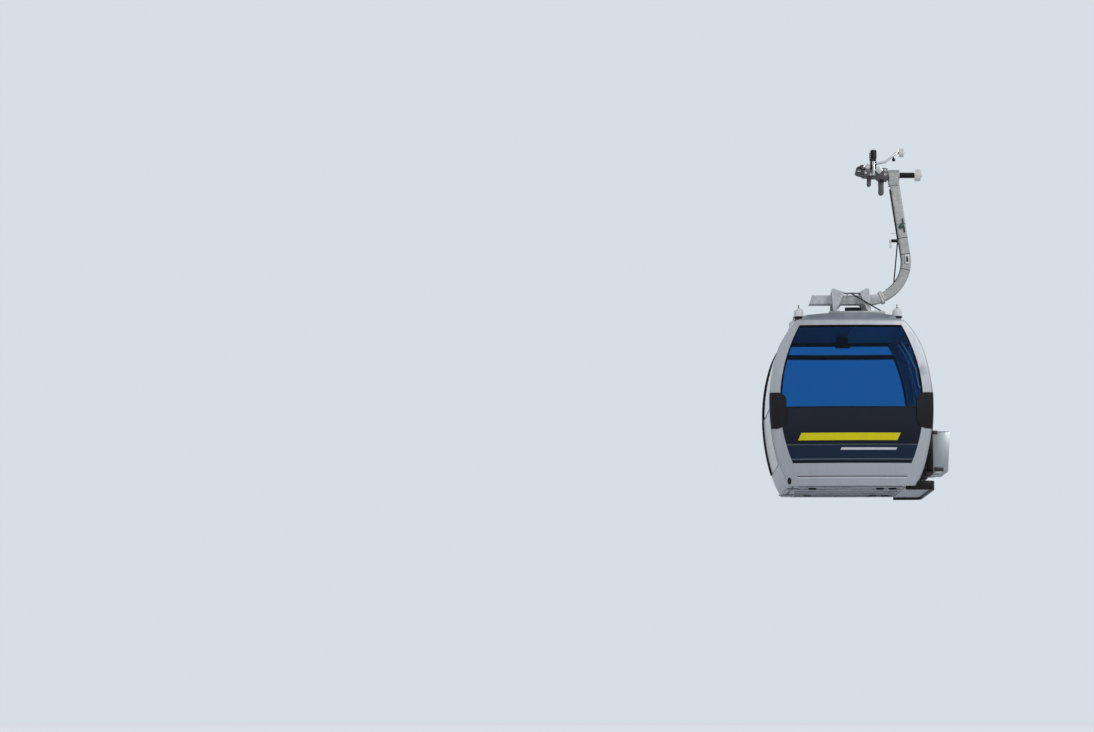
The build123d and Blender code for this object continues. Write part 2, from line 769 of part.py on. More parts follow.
def trapezoid(top_half, foot_half, high):
    """An upright trapezoid, drawn in y and z, that stands on the rails."""
    return polygon((-top_half, high), (top_half, high), (foot_half, foot_z), (-foot_half, foot_z))


def yoke(x, inward, web_width):
    """An upturned V with a flat crown, and a web with a slanted edge on its inner side."""
    half_leg = yoke_leg / 2
    outline = trapezoid(yoke_crown, yoke_foot_y + half_leg, yoke_top)
    hole = trapezoid(yoke_crown - half_leg + 8, yoke_foot_y - half_leg, crown_low)
    frame = along(outline - hole, x - yoke_width / 2, x + yoke_width / 2)
    face_x = x + inward * yoke_width / 2
    tip_x = face_x + inward * web_width
    rim = outline - trapezoid(yoke_crown - yoke_web, yoke_foot_y + half_leg - yoke_web, yoke_top)
    web = along(rim, min(face_x, tip_x), max(face_x, tip_x))
    gusset = polygon((face_x, yoke_top - 8), (tip_x, crown_low - 4), (face_x, foot_z + 10))
    return frame + (web & across(gusset, -yoke_foot_y, yoke_foot_y))


rubbers = Part()
for name, x, inward, web_width in yokes:
    keep(name, yoke(x, inward, web_width))
    rubbers = rubbers + block(x - yoke_width / 2, x + yoke_width / 2, -rubber_half, rubber_half,
                              beam_top + seam, crown_low)
keep("hanger_rubbers", rubbers)

roof_under_hanger = Pos(cabin_x, 0, 0) * roof_skin
rail_in, rail_out = rail_margins
rail = block(*rail_ends, yoke_foot_y - rail_in, yoke_foot_y + rail_out,
             roof_top - rail_sink, rail_top)
keep("roof_rails", front_and_rear(rail) - roof_under_hanger)

# Two ties join the yokes, and a brace runs from each tie to each rail's end

tie_z = beam_top + tie_rise
tie_x0 = yokes[0][1] + yoke_width / 2 + seam
tie_x1 = yokes[1][1] - yoke_width / 2 - seam
side_braces = block(tie_x0, tie_x1, tie_y - tie_size / 2, tie_y + tie_size / 2,
                    tie_z - tie_size / 2, tie_z + tie_size / 2)
below_rails = level(rail_top - 200, rail_top + seam)
for tie_x, foot_x in brace_ends:
    start = (tie_x, tie_y + tie_size / 2 + brace_radius - 1, tie_z)
    side_braces = side_braces + rod_between(start, (foot_x, brace_foot_y, rail_top), brace_radius)
keep("braces", front_and_rear(side_braces - below_rails))

buffer_top = beam_z - half_beam - buffer_gap
buffer = extrude(SlotOverall(buffer_length, buffer_width), buffer_top - roof_top + rail_sink)
keep("roof_buffer", Pos(buffer_x, 0, roof_top - rail_sink) * buffer - roof_under_hanger)

# Cable that works the doors: clamped to the arm's inner face, with a lever on a stub

cable_gap = arm_size / 2 + cable_radius + seam
arm_run = (bend_point(knee_angle) - arm_top).normalized()
inward_side = Vector(-arm_run.Z, 0, arm_run.X) * -1
leg_length = (bend_point(knee_angle) - arm_top).length
cable_start = arm_top + arm_run * cable_below_head + inward_side * cable_gap
cable_leaves = arm_top + arm_run * leg_length * cable_leave + inward_side * cable_gap
cable_end = bend_point(cable_meet, bend_radius - cable_gap)


def door_cable(radius):
    """The cable, clamped along the leg and then free to where it enters the bend."""
    clamped = rod_between(cable_start, cable_leaves, radius)
    free = rod_between(cable_leaves, cable_end, radius)
    return clamped + Pos(cable_leaves) * Sphere(radius) + free


keep("door_cable", door_cable(cable_radius))

arm_outline = bar([(arm_top.X, arm_top.Z), (knee_x, arm_straight_end)], arm_size + 2 * seam)
stub = rod_x(stub_radius, stub_x - stub_length, stub_x + stub_length / 2, 0, stub_z)
stub = stub - across(arm_outline, -arm_depth, arm_depth)
hook_x = stub_x - stub_length - lever_hook
hook = bar([(hook_x + 6, stub_z - 72), (hook_x, stub_z), (hook_x + 38, stub_z)], lever_hook)
hook = across(hook, -lever_hook / 2, lever_hook / 2)
keep("door_lever", (stub + hook) - door_cable(cable_radius + seam))

# Shaft, sleeve and runner

sleeve_start = head_end + sleeve_gap
runner_start = runner_end - runner_width
shaft_cut = rod_x(shaft_radius, shaft_start, shaft_end + 1, 0, swing_z)
keep("pivot_shaft", rod_x(shaft_radius, shaft_start, shaft_end, 0, swing_z))
keep("shaft_sleeve", rod_x(sleeve_radius, sleeve_start, runner_start - 5, 0, swing_z) - shaft_cut)
runner = fillet(rod_x(runner_radius, runner_start, runner_end, 0, swing_z).edges(), 8)
keep("runner_roller", runner - rod_x(shaft_radius + running_fit, 0, FAR, 0, swing_z))

# Grip

half_grip = grip_length / 2
half_jaw = jaw_length / 2
boss_end = head_start - head_clearance
casting_start = jaw_radius - 1
casting_end = boss_end - 8


def half_jaw_outline(web, side):
    """Half of the jaws' ring with its web, above (side 1) or below (side -1) the lips' gap."""
    lips = band(FAR, jaw_gap / 2) if side > 0 else band(-jaw_gap / 2, -FAR)
    return ((Circle(jaw_radius) + web) & lips) - Circle(rope_radius)


def grip_body():
    """The casting with its fixed lower jaw, shaft boss, spring seats, stub and lever ears."""
    profile = polygon((casting_start, casting_low + 48), (casting_start, -8), (lever_x + 42, -8),
                      (lever_x + 52, casting_top - 12), (lever_x + 117, casting_top),
                      (casting_end - 30, casting_top), (casting_end, casting_top - 8),
                      (casting_end, casting_low), (lever_x + 142, casting_low),
                      (lever_x + 104, casting_low + 34), (lever_x + 48, casting_low + 34))
    web_low = -jaw_radius - 15
    jaw_web = polygon((0, -jaw_radius), (jaw_radius + 3, web_low), (casting_start + 18, web_low),
                      (casting_start + 18, 0), (0, 0))
    jaw = half_jaw_outline(jaw_web, -1)
    ear = Pos(lever_x, lever_z) * Circle(ear_radius) + polygon(
        (lever_x - 28, -20), (lever_x - 28, lever_z), (lever_x + 28, lever_z), (lever_x + 36, -20))
    stub_outline = bar([(lever_x + 24, casting_low + stub_size),
                        (lever_x + 20, casting_low - stub_low)], stub_size)
    body = across(profile, -half_grip, half_grip) + across(jaw, -half_jaw, half_jaw)
    body = body + front_and_rear(across(ear, half_grip - ear_wall, half_grip))
    body = body + across(stub_outline, -tongue_wall / 2, tongue_wall / 2)
    body = body + rod_x(head_radius - 4, shaft_start, boss_end, 0, swing_z)
    for y in (-spring_y, spring_y):
        body = body + upright(half_grip - spring_y, spring_seat_z + 20, spring_x, y, -20)
    body = body - rod_y(lever_pin_radius, -FAR, FAR, lever_x, lever_z)
    return body - rod_x(shaft_radius, shaft_start, FAR, 0, swing_z)


def grip_lever():
    """The moving jaw, its hub on the pin, and the control arm out to the roller's stub."""
    hub_half = half_grip - ear_wall - hub_gap
    jaw_web = polygon((0, jaw_radius), (18, jaw_radius + 17), (lever_x - 38, lever_z + 28),
                      (lever_x - 38, lever_z - 20), (0, 0))
    jaw = half_jaw_outline(jaw_web, 1)
    bridge = polygon((jaw_radius - 7, lever_z - 12), (jaw_radius - 7, lever_z + 22),
                     (lever_x, lever_z + 28), (lever_x, lever_z - 26))
    bridge = bridge + Pos(lever_x, lever_z) * Circle(hub_radius)
    arm_end = lever_roller_x[0] - 5 - lever_bar / 2
    arm_line = ((lever_x + 6, lever_z + 16), (lever_x + 84, lever_z + 52), (318, 114),
                (424, lever_roller_z - 20), (arm_end, lever_roller_z))
    lever = across(jaw, -half_jaw + jaw_step, half_jaw - jaw_step)
    lever = lever + across(bridge, -hub_half, hub_half)
    lever = lever + across(bar(arm_line, lever_bar), -lever_width / 2, lever_width / 2)
    lever = lever + rod_x(lever_stub_radius, arm_end, lever_roller_x[1] + 6, 0, lever_roller_z)
    return lever - rod_y(lever_pin_radius + running_fit, -FAR, FAR, lever_x, lever_z)


def coil_spring(y):
    """A close-wound spring, drawn as turns that touch, on its seat."""
    pitch = (spring_cap_z - spring_seat_z) / spring_turns
    turn_x = spring_radius - pitch / 2
    profile = Pos(turn_x / 2, spring_seat_z + spring_turns * pitch / 2) * Rectangle(
        turn_x, spring_turns * pitch)
    for turn in range(spring_turns):
        profile = profile + Pos(turn_x, spring_seat_z + (turn + 0.5) * pitch) * Circle(
            pitch / 2 - seam)
    return Pos(spring_x, y, 0) * revolve(Plane.XZ * profile, axis=Axis.Z)


def spring_cap(y):
    cap = upright(spring_cap_radius, spring_cap_height, spring_x, y, spring_cap_z)
    return fillet(cap.edges().group_by(Axis.Z)[-1], 14)


keep("grip_body", grip_body())
keep("grip_lever", grip_lever())
keep("lever_pin", rod_y(lever_pin_radius, -half_grip - 4, half_grip + 4, lever_x, lever_z))
keep("grip_springs", coil_spring(-spring_y) + coil_spring(spring_y))
keep("spring_caps", spring_cap(-spring_y) + spring_cap(spring_y))
roller = fillet(rod_x(lever_roller_radius, *lever_roller_x, 0, lever_roller_z).edges(), 7)
keep("lever_roller", roller - rod_x(lever_stub_radius + running_fit, 0, FAR, 0, lever_roller_z))
tongue = bar([(tongue_x, casting_low + tongue_width), (tongue_x, tongue_low)], tongue_width)
tongue = across(tongue, -tongue_wall / 2, tongue_wall / 2)
keep("grip_tongue", tongue - level(casting_low, FAR))
plate = Pos(plate_x, plate_z) * Rot(0, 0, 45) * RectangleRounded(plate_side, plate_side, 8)
keep("guide_plates", front_and_rear(across(plate, half_grip, half_grip + plate_wall)))

os.makedirs("parts", exist_ok=True)
for name, shape in parts.items():
    export_step(shape, f"parts/{name}.step")
print(len(parts), "nodes; the lever pivots at", lever_x, lever_z, "and the sill is at", sill_z)
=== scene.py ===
# %% [markdown]
# # A gondola cabin, its hanger and its grip
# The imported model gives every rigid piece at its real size, in metres, with the middle of
# the grip's jaws as the origin, +Y along the line of travel and +Z up. This script dresses those
# pieces: each gets a material worked out from its place on the object, and the small things that
# a maker would fit by hand, such as seals, bolts, caps and trim, are modelled on top.

# %% Load the frame
import bpy
import json
from math import cos, pi, radians, sin
from mathutils import Matrix, Vector


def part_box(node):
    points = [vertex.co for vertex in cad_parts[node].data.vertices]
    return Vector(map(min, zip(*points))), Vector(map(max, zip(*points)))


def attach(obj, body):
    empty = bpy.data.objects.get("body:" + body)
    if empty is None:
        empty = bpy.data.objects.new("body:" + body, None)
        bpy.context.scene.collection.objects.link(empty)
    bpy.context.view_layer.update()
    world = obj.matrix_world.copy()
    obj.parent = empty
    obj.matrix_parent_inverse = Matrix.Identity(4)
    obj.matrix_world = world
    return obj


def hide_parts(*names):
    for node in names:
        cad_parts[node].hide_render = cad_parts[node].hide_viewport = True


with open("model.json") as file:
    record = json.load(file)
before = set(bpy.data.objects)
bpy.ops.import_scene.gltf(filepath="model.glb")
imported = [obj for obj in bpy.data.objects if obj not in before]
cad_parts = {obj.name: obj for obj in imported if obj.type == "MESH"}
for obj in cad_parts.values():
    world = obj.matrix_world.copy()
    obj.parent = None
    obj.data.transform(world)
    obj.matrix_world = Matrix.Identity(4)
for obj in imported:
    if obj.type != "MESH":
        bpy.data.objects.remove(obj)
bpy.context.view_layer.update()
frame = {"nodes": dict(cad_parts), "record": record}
scene = bpy.context.scene
nodes = frame["nodes"]

# %% [markdown]
# The camera comes first, because everything is compared through it. The picture is a long-lens
# shot from the ground, a little below the cabin: the cabin's own size gives the lens, and the
# height at which level lines would vanish gives the tilt. A camera that stands on the floor and
# looks up needs no shift, so the same camera also works when it is moved round the object.

# %% Camera
IMAGE_WIDTH = 1094
FOCAL_PIXELS = 2920.0
SENSOR = 36.0
camera_place = Vector((-2.80, -34.18, -6.468))
camera_turn = radians(1.5026)    # to the left of the line of travel
camera_tilt = radians(6.93)      # upwards

camera = bpy.data.objects.new("camera", bpy.data.cameras.new("camera"))
scene.collection.objects.link(camera)
camera.location = camera_place
camera.rotation_euler = (pi / 2 + camera_tilt, 0, camera_turn)
camera.data.sensor_width = SENSOR
camera.data.lens = FOCAL_PIXELS * SENSOR / IMAGE_WIDTH
camera.data.clip_end = 500
scene.camera = camera
print("lens", round(camera.data.lens, 2), "mm")

# %% [markdown]
# Every shader here is a small network of nodes. Building one socket by socket takes many lines,
# so a few tools come first: one makes a node with its settings, one sends two values through a
# Math node, one maps a range of values to another, and one mixes two colours by a mask.

# %% Shader tools


def link(tree, output, target):
    tree.links.new(output, target)


def node(tree, kind, **settings):
    """A shader node with its settings; a key that starts with in_ sets that socket's value."""
    made = tree.nodes.new("ShaderNode" + kind)
    for key, value in settings.items():
        if key.startswith("in_"):
            made.inputs[key[3:].replace("_", " ")].default_value = value
        else:
            setattr(made, key, value)
    return made


def ramp(tree, source, low, high, start=0.0, end=1.0):
    """Map a value from low..high to start..end, held at the ends."""
    made = node(tree, "MapRange", clamp=True)
    for label, value in (("From Min", low), ("From Max", high), ("To Min", start), ("To Max", end)):
        made.inputs[label].default_value = value
    link(tree, source, made.inputs["Value"])
    return made.outputs["Result"]


def combine(tree, operation, first, second):
    """Two values through one Math node; the second may be a plain number."""
    made = node(tree, "Math", operation=operation)
    link(tree, first, made.inputs[0])
    if isinstance(second, (int, float)):
        made.inputs[1].default_value = second
    else:
        link(tree, second, made.inputs[1])
    return made.outputs[0]


def mix_colours(tree, mask, first, second):
    """Mix two colours, each a plain colour or the output of another mix."""
    mix = node(tree, "Mix", data_type="RGBA")
    for label, colour in (("A", first), ("B", second)):
        if isinstance(colour, tuple):
            mix.inputs[label].default_value = (*colour, 1)
        else:
            link(tree, colour, mix.inputs[label])
    link(tree, mask, mix.inputs["Factor"])
    return mix.outputs["Result"]


print("shader tools ready")

# %% [markdown]
# A light that is mostly soft keeps the colours as they are written. One wide lamp high on the
# right stands for the low sun that brightens the right-hand pillar, a weak one lifts the left side
# out of its shade, and a third reaches over the roof from behind. Only the camera, mirrors and
# glass see the pale background, so it can be pale without lighting the object.

# %% Lamps and world
MIDDLE = (-0.2, 0, -2.6)         # between the cabin and its hanger
OVER_ROOF = (-0.2, 0, -2.0)


def add_lamp(name, place, aim, size, power):
    data = bpy.data.lights.new(name, "AREA")
    data.shape = "DISK"
    data.size = size
    data.energy = power
    lamp = bpy.data.objects.new(name, data)
    scene.collection.objects.link(lamp)
    lamp.location = place
    lamp.rotation_euler = (Vector(aim) - Vector(place)).to_track_quat("-Z", "Y").to_euler()


add_lamp("key_lamp", (10.5, -15.5, 7.0), MIDDLE, 6.0, 1330)
add_lamp("fill_lamp", (-12.0, -9.0, -1.0), MIDDLE, 8.0, 140)
add_lamp("back_lamp", (-4.0, 12.0, 5.0), OVER_ROOF, 7.0, 500)

world = bpy.data.worlds.new("pale_studio")
scene.world = world
world.use_nodes = True
tree = world.node_tree
tree.nodes.clear()
rays = node(tree, "LightPath")
seen = combine(tree, "MAXIMUM", rays.outputs["Is Camera Ray"], rays.outputs["Is Glossy Ray"])
seen = combine(tree, "MAXIMUM", seen, rays.outputs["Is Transmission Ray"])
lights_object = node(tree, "Background", in_Color=(0.80, 0.88, 1.0, 1), in_Strength=0.43)
is_seen = node(tree, "Background", in_Color=(0.80, 0.87, 0.94, 1), in_Strength=0.84)
choose = node(tree, "MixShader")
link(tree, seen, choose.inputs["Fac"])
link(tree, lights_object.outputs[0], choose.inputs[1])
link(tree, is_seen.outputs[0], choose.inputs[2])
link(tree, choose.outputs[0], node(tree, "OutputWorld").inputs["Surface"])
scene.view_settings.view_transform = "Standard"

# %% [markdown]
# The floor lies far below the cabin, where the camera stands. To the lamps it is pale and throws
# light up under the cabin. The camera sees it dim and glowing, so that it is as bright as the
# background both under the lamps and far from them, and still takes the cabin's shadow.

# %% Floor
FLOOR_Z = -6.55

bpy.ops.object.select_all(action="DESELECT")
bpy.ops.mesh.primitive_circle_add(vertices=96, radius=150, fill_type="NGON",
                                  location=(0, 0, FLOOR_Z))
floor_plane = bpy.context.active_object
floor_plane.name = "studio_floor"
floor_paint = bpy.data.materials.new("pale_floor")
floor_paint.use_nodes = True
tree = floor_paint.node_tree
floor_shader = tree.nodes["Principled BSDF"]
floor_shader.inputs["Specular IOR Level"].default_value = 0.0
floor_shader.inputs["Roughness"].default_value = 0.8
floor_shader.inputs["Emission Color"].default_value = (0.86, 0.90, 0.95, 1)
to_camera = node(tree, "LightPath").outputs["Is Camera Ray"]
link(tree, combine(tree, "MULTIPLY", to_camera, 0.72), floor_shader.inputs["Emission Strength"])
link(tree, mix_colours(tree, to_camera, (0.74, 0.77, 0.80), (0.14, 0.145, 0.15)),
     floor_shader.inputs["Base Color"])
floor_plane.data.materials.append(floor_paint)
print("floor at", FLOOR_Z)

# %% [markdown]
# Effects that several finishes share are made once, as node groups. Each takes the scale it
# should have on its own material and gives back a mask or a normal. They all read Object
# coordinates, which here are metres on the cabin itself, so a pattern stays where it is put.

# %% Shared effects


def new_group(name, inputs, outputs):
    """An empty shader node group with these float inputs and (name, kind) outputs."""
    group = bpy.data.node_groups.new(name, "ShaderNodeTree")
    for label, value in inputs:
        socket = group.interface.new_socket(label, in_out="INPUT", socket_type="NodeSocketFloat")
        socket.default_value = value
    for label, kind in outputs:
        group.interface.new_socket(label, in_out="OUTPUT", socket_type="NodeSocket" + kind)
    start = group.nodes.new("NodeGroupInput")
    end = group.nodes.new("NodeGroupOutput")
    return group, start, end


def make_grain():
    """Fine unevenness of paint or cast metal: a value about 0.5 and a bumped normal."""
    group, start, end = new_group("fine_grain", [("Scale", 60.0), ("Depth", 0.1)],
                                  [("Value", "Float"), ("Normal", "Vector")])
    place = node(group, "TexCoord")
    noise = node(group, "TexNoise", in_Detail=5.0, in_Roughness=0.6)
    bump = node(group, "Bump", in_Distance=0.001)
    link(group, place.outputs["Object"], noise.inputs["Vector"])
    link(group, start.outputs["Scale"], noise.inputs["Scale"])
    link(group, start.outputs["Depth"], bump.inputs["Strength"])
    link(group, noise.outputs["Fac"], bump.inputs["Height"])
    link(group, noise.outputs["Fac"], end.inputs["Value"])
    link(group, bump.outputs["Normal"], end.inputs["Normal"])
    return group


def make_grime():
    """Broken streaks that run down a surface and patches between them, as a mask."""
    group, start, end = new_group("grime", [("Scale", 3.0), ("Amount", 0.5)],
                                  [("Mask", "Float")])
    place = node(group, "TexCoord")
    stretch = node(group, "Mapping", in_Scale=(4.0, 4.0, 0.35))
    streaks = node(group, "TexNoise", in_Detail=6.0, in_Roughness=0.65)
    patches = node(group, "TexNoise", in_Detail=3.0, in_Scale=1.7)
    link(group, place.outputs["Object"], stretch.inputs["Vector"])
    link(group, stretch.outputs["Vector"], streaks.inputs["Vector"])
    link(group, start.outputs["Scale"], streaks.inputs["Scale"])
    link(group, place.outputs["Object"], patches.inputs["Vector"])
    both = combine(group, "MULTIPLY", ramp(group, streaks.outputs["Fac"], 0.45, 0.75),
                   ramp(group, patches.outputs["Fac"], 0.35, 0.7, 0.2, 1.0))
    link(group, combine(group, "MULTIPLY", both, start.outputs["Amount"]), end.inputs["Mask"])
    return group


grain_group, grime_group = make_grain(), make_grime()
print("effects", grain_group.name, grime_group.name)

# %% [markdown]
# Two more effects belong to metal. Hot-dip zinc freezes into crystals, which a Voronoi texture
# gives, as each of its cells has one random value. Edges that are rubbed or knocked lose their
# paint and dirt first. The Bevel node finds them: the rounded normal that it gives turns away
# from the face's own normal only near an edge.

# %% Crystals and rubbed edges


def make_spangle():
    """Zinc crystals: a random value for each cell, blurred a little by noise."""
    group, start, end = new_group("zinc_spangle", [("Scale", 60.0)], [("Value", "Float")])
    place = node(group, "TexCoord")
    cells = node(group, "TexVoronoi", in_Randomness=1.0)
    mist = node(group, "TexNoise", in_Detail=4.0, in_Scale=5.0)
    mix = node(group, "Mix", data_type="FLOAT", in_Factor=0.5)
    split = node(group, "SeparateColor")
    link(group, place.outputs["Object"], cells.inputs["Vector"])
    link(group, place.outputs["Object"], mist.inputs["Vector"])
    link(group, start.outputs["Scale"], cells.inputs["Scale"])
    link(group, cells.outputs["Color"], split.inputs["Color"])
    link(group, split.outputs["Red"], mix.inputs["A"])
    link(group, mist.outputs["Fac"], mix.inputs["B"])
    link(group, mix.outputs["Result"], end.inputs["Value"])
    return group


def make_edge_wear():
    """Where a surface turns sharply within a radius: rubbed edges, broken up by noise."""
    group, start, end = new_group("edge_wear", [("Radius", 0.004), ("Amount", 0.5)],
                                  [("Mask", "Float")])
    rounded = node(group, "Bevel", samples=4)
    true_face = node(group, "NewGeometry")
    turn = node(group, "VectorMath", operation="DOT_PRODUCT")
    place = node(group, "TexCoord")
    noise = node(group, "TexNoise", in_Detail=3.0, in_Scale=35.0)
    link(group, start.outputs["Radius"], rounded.inputs["Radius"])
    link(group, rounded.outputs["Normal"], turn.inputs[0])
    link(group, true_face.outputs["Normal"], turn.inputs[1])
    link(group, place.outputs["Object"], noise.inputs["Vector"])
    edge = ramp(group, turn.outputs["Value"], 0.97, 0.82)
    rubbed = combine(group, "MULTIPLY", edge, ramp(group, noise.outputs["Fac"], 0.4, 0.6))
    link(group, combine(group, "MULTIPLY", rubbed, start.outputs["Amount"]), end.inputs["Mask"])
    return group


spangle_group, wear_group = make_spangle(), make_edge_wear()
print("node groups", len(bpy.data.node_groups))

# %% [markdown]
# A finish is a material made by one function. Its main colour is mixed towards a second colour
# by a mask of dirt, then towards a third where edges are rubbed, and its roughness follows the
# dirt, because dirt changes both at once. Some pieces are painted or stained in one region only:
# there a mask is worked out from the Object coordinates, which costs no extra geometry. What is
# the same all over, such as how metallic it is, is set on the shader itself.

# %% Finish tools


def place_group(tree, group, **values):
    made = tree.nodes.new("ShaderNodeGroup")
    made.node_tree = group
    for label, value in values.items():
        made.inputs[label].default_value = value
    return made


def new_finish(name, **sockets):
    """A material with its shader's plain sockets set, and its node tree and shader."""
    material = bpy.data.materials.new(name)
    material.use_nodes = True
    shader = material.node_tree.nodes["Principled BSDF"]
    for label, value in sockets.items():
        shader.inputs[label.replace("_", " ")].default_value = value
    return material, material.node_tree, shader


def weathered(name, clean, dirty, rough=(0.3, 0.6), grime=(3.0, 0.5), grain=(60.0, 0.1),
              wear=None, regions=None, **sockets):
    """A surface with grime over a fine grain, rubbed edges and painted regions.

    rough is the roughness where clean and where dirty, grime its scale and amount, grain its
    scale and depth, and wear its (radius, amount, colour). regions takes the tree and yields
    (mask, colour) pairs.
    """
    material, tree, shader = new_finish(name, **sockets)
    mask = place_group(tree, grime_group, Scale=grime[0], Amount=grime[1]).outputs["Mask"]
    fine = place_group(tree, grain_group, Scale=grain[0], Depth=grain[1])
    colour = clean
    for region, paint in (regions(tree) if regions else ()):
        colour = mix_colours(tree, region, colour, paint)
    colour = mix_colours(tree, mask, colour, dirty)
    if wear:
        rubbed = place_group(tree, wear_group, Radius=wear[0], Amount=wear[1]).outputs["Mask"]
        colour = mix_colours(tree, rubbed, colour, wear[2])
    link(tree, colour, shader.inputs["Base Color"])
    link(tree, ramp(tree, mask, 0.0, 1.0, *rough), shader.inputs["Roughness"])
    link(tree, fine.outputs["Normal"], shader.inputs["Normal"])
    return material


print("finish tools ready")

# %% [markdown]
# Some places are needed by several cells. The cabin's come from the frame's own boxes, so that a
# seal or a stripe stays on its panel if the cabin is made in another size.

# %% Heights and places
WINDOW_LOW, WINDOW_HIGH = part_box("front_window")
CABIN_X = (WINDOW_LOW.x + WINDOW_HIGH.x) / 2
BELT_Z, WINDOW_TOP = WINDOW_LOW.z, WINDOW_HIGH.z
PANEL_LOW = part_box("front_panel")[0].z
print("belt", round(BELT_Z, 3), "panel from", round(PANEL_LOW, 3))

# %% [markdown]
# One piece can carry several paints: the skirt's groove with its painted shade and painted
# highlight, the end panels' stripes with their painted reflection and painted highlights, the
# window's black border. Cutting each one into the mesh would cost faces and leave ragged edges on
# curved panels. Here each is a mask that is 1 between two limits of a coordinate, so its edge is
# sharp at any distance.

# %% Painted regions
JAW_EDGE = 0.056                 # the jaws' forged steel ends here, beside the casting
SHADED_BRACE_X = -0.115           # right of this the brace and its tie get painted shade
TIE_SHADE_Z = -1.485            # above this the braces and ties get painted shade
CEILING_LIGHT_X = -0.150            # right of this the ceiling gets painted light
GROOVE_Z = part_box("front_lower_frame")[0].z + 0.103
GROOVE_REACH = 0.625             # how far the groove runs from the cabin's middle


def coordinates(tree):
    """The three Object coordinates of a surface, in metres."""
    place = node(tree, "TexCoord")
    split = node(tree, "SeparateXYZ")
    link(tree, place.outputs["Object"], split.inputs["Vector"])
    return split.outputs["X"], split.outputs["Y"], split.outputs["Z"]


def between(tree, value, low, high, soft=0.001):
    """1 where a value lies between two limits, 0 outside."""
    return combine(tree, "MULTIPLY", ramp(tree, value, low - soft, low + soft),
                   ramp(tree, value, high + soft, high - soft))


def jaws_region(tree):
    """The forged jaws, which are darker than the castings that they grow from."""
    x, _, _ = coordinates(tree)
    yield ramp(tree, x, JAW_EDGE + 0.004, JAW_EDGE - 0.004), (0.05, 0.048, 0.05)


def brace_shade_region(tree):
    """Painted shade: the brace on the right and the ties are near black, the left brace is bare
    zinc.
    """
    x, _, z = coordinates(tree)
    yield between(tree, x, SHADED_BRACE_X, 1.0), (0.018, 0.018, 0.02)
    yield ramp(tree, z, TIE_SHADE_Z - 0.002, TIE_SHADE_Z + 0.002), (0.02, 0.02, 0.022)


def groove_shade_and_highlight(tree):
    """The groove in the skirt is painted dark as shade, and its lower lip gets a painted highlight.
    """
    x, _, z = coordinates(tree)
    across = between(tree, x, CABIN_X - GROOVE_REACH, CABIN_X + GROOVE_REACH, 0.004)
    # painted shade inside the groove, then a painted highlight on its lower lip
    groove_shade = between(tree, z, GROOVE_Z - 0.006, GROOVE_Z + 0.006)
    lip_highlight = between(tree, z, GROOVE_Z - 0.017, GROOVE_Z - 0.007, 0.002)
    yield combine(tree, "MULTIPLY", groove_shade, across), (0.07, 0.07, 0.075)
    yield combine(tree, "MULTIPLY", lip_highlight, across), (0.78, 0.79, 0.80)


def ceiling_light_region(tree):
    """Painted light: right of a line left of the middle the ceiling is paler and bluer, with a grey
    line along that edge.
    """
    x, _, _ = coordinates(tree)
    yield ramp(tree, x, CEILING_LIGHT_X - 0.002, CEILING_LIGHT_X + 0.002), (0.50, 0.80, 0.84)
    yield between(tree, x, CEILING_LIGHT_X - 0.007, CEILING_LIGHT_X + 0.001), (0.40, 0.44, 0.46)


print("groove at", round(GROOVE_Z, 3))

# %% [markdown]
# The end panels and windows carry the most paint. A bar with slanted ends is a mask between two
# heights times a mask between two limits of x, where a share of the height is first taken from
# x to slant it. The window's border follows its curved sides in the same way, with the square of
# the height in place of the share.

# %% End panels and windows
CREASE_Z = PANEL_LOW + 0.210     # a fold across the end panel
BAR_SLANT = 0.45                 # how far a bar's end leans out for each metre of height
BARS = (             # low and high z, where it starts and stops along the slant, paint
    (-3.290, -3.205, 0.865, 1.995, (0.80, 0.68, 0.01)),
    (-3.400, -3.372, 1.395, 2.030, (0.66, 0.67, 0.68)),
)


def livery_and_sheen(side):
    """The stripes of an end panel: a yellow bar with slanted ends over a short white one.
    With them goes painted light: a bluer painted reflection below the fold, and painted highlights
    along the fold and along the lower edge. Below that edge the panel is near black.

    side is 1 where +X is on the right of who looks at the panel, and -1 where it is on the left.
    """
    def regions(tree):
        x, _, z = coordinates(tree)
        out_from_middle = combine(tree, "MULTIPLY", combine(tree, "SUBTRACT", x, CABIN_X), side)
        slant = combine(tree, "SUBTRACT", out_from_middle,
                        combine(tree, "MULTIPLY", z, BAR_SLANT))
        # painted reflection: the panel is bluer below its fold
        yield ramp(tree, z, CREASE_Z + 0.001, CREASE_Z - 0.001), (0.012, 0.026, 0.052)
        # painted highlight along the fold
        yield between(tree, z, CREASE_Z - 0.006, CREASE_Z + 0.006), (0.34, 0.38, 0.45)
        # painted highlight along the panel's lower edge, near black below it
        yield between(tree, z, PANEL_LOW + 0.043, PANEL_LOW + 0.050), (0.20, 0.22, 0.26)
        yield ramp(tree, z, PANEL_LOW + 0.032, PANEL_LOW + 0.028), (0.012, 0.012, 0.015)
        for low, high, start, stop, paint in BARS:
            bar = combine(tree, "MULTIPLY", between(tree, z, low, high),
                          between(tree, slant, start, stop, 0.002))
            yield bar, paint
    return regions


def frit_region(tree):
    """The black border baked on an end window: a band along its top and strips down its sides.

    The window's half width falls off from the belt as the square of the height over it.
    """
    x, _, z = coordinates(tree)
    top = ramp(tree, z, WINDOW_TOP - 0.030, WINDOW_TOP - 0.026)
    out_from_middle = combine(tree, "ABSOLUTE", combine(tree, "SUBTRACT", x, CABIN_X), 0.0)
    rise = combine(tree, "SUBTRACT", z, BELT_Z + 0.058)
    narrowing = combine(tree, "MULTIPLY", combine(tree, "MULTIPLY", rise, rise), 0.281)
    sides = ramp(tree, combine(tree, "ADD", out_from_middle, narrowing), 0.793, 0.797)
    yield combine(tree, "MAXIMUM", top, sides), (0.002, 0.002, 0.003)


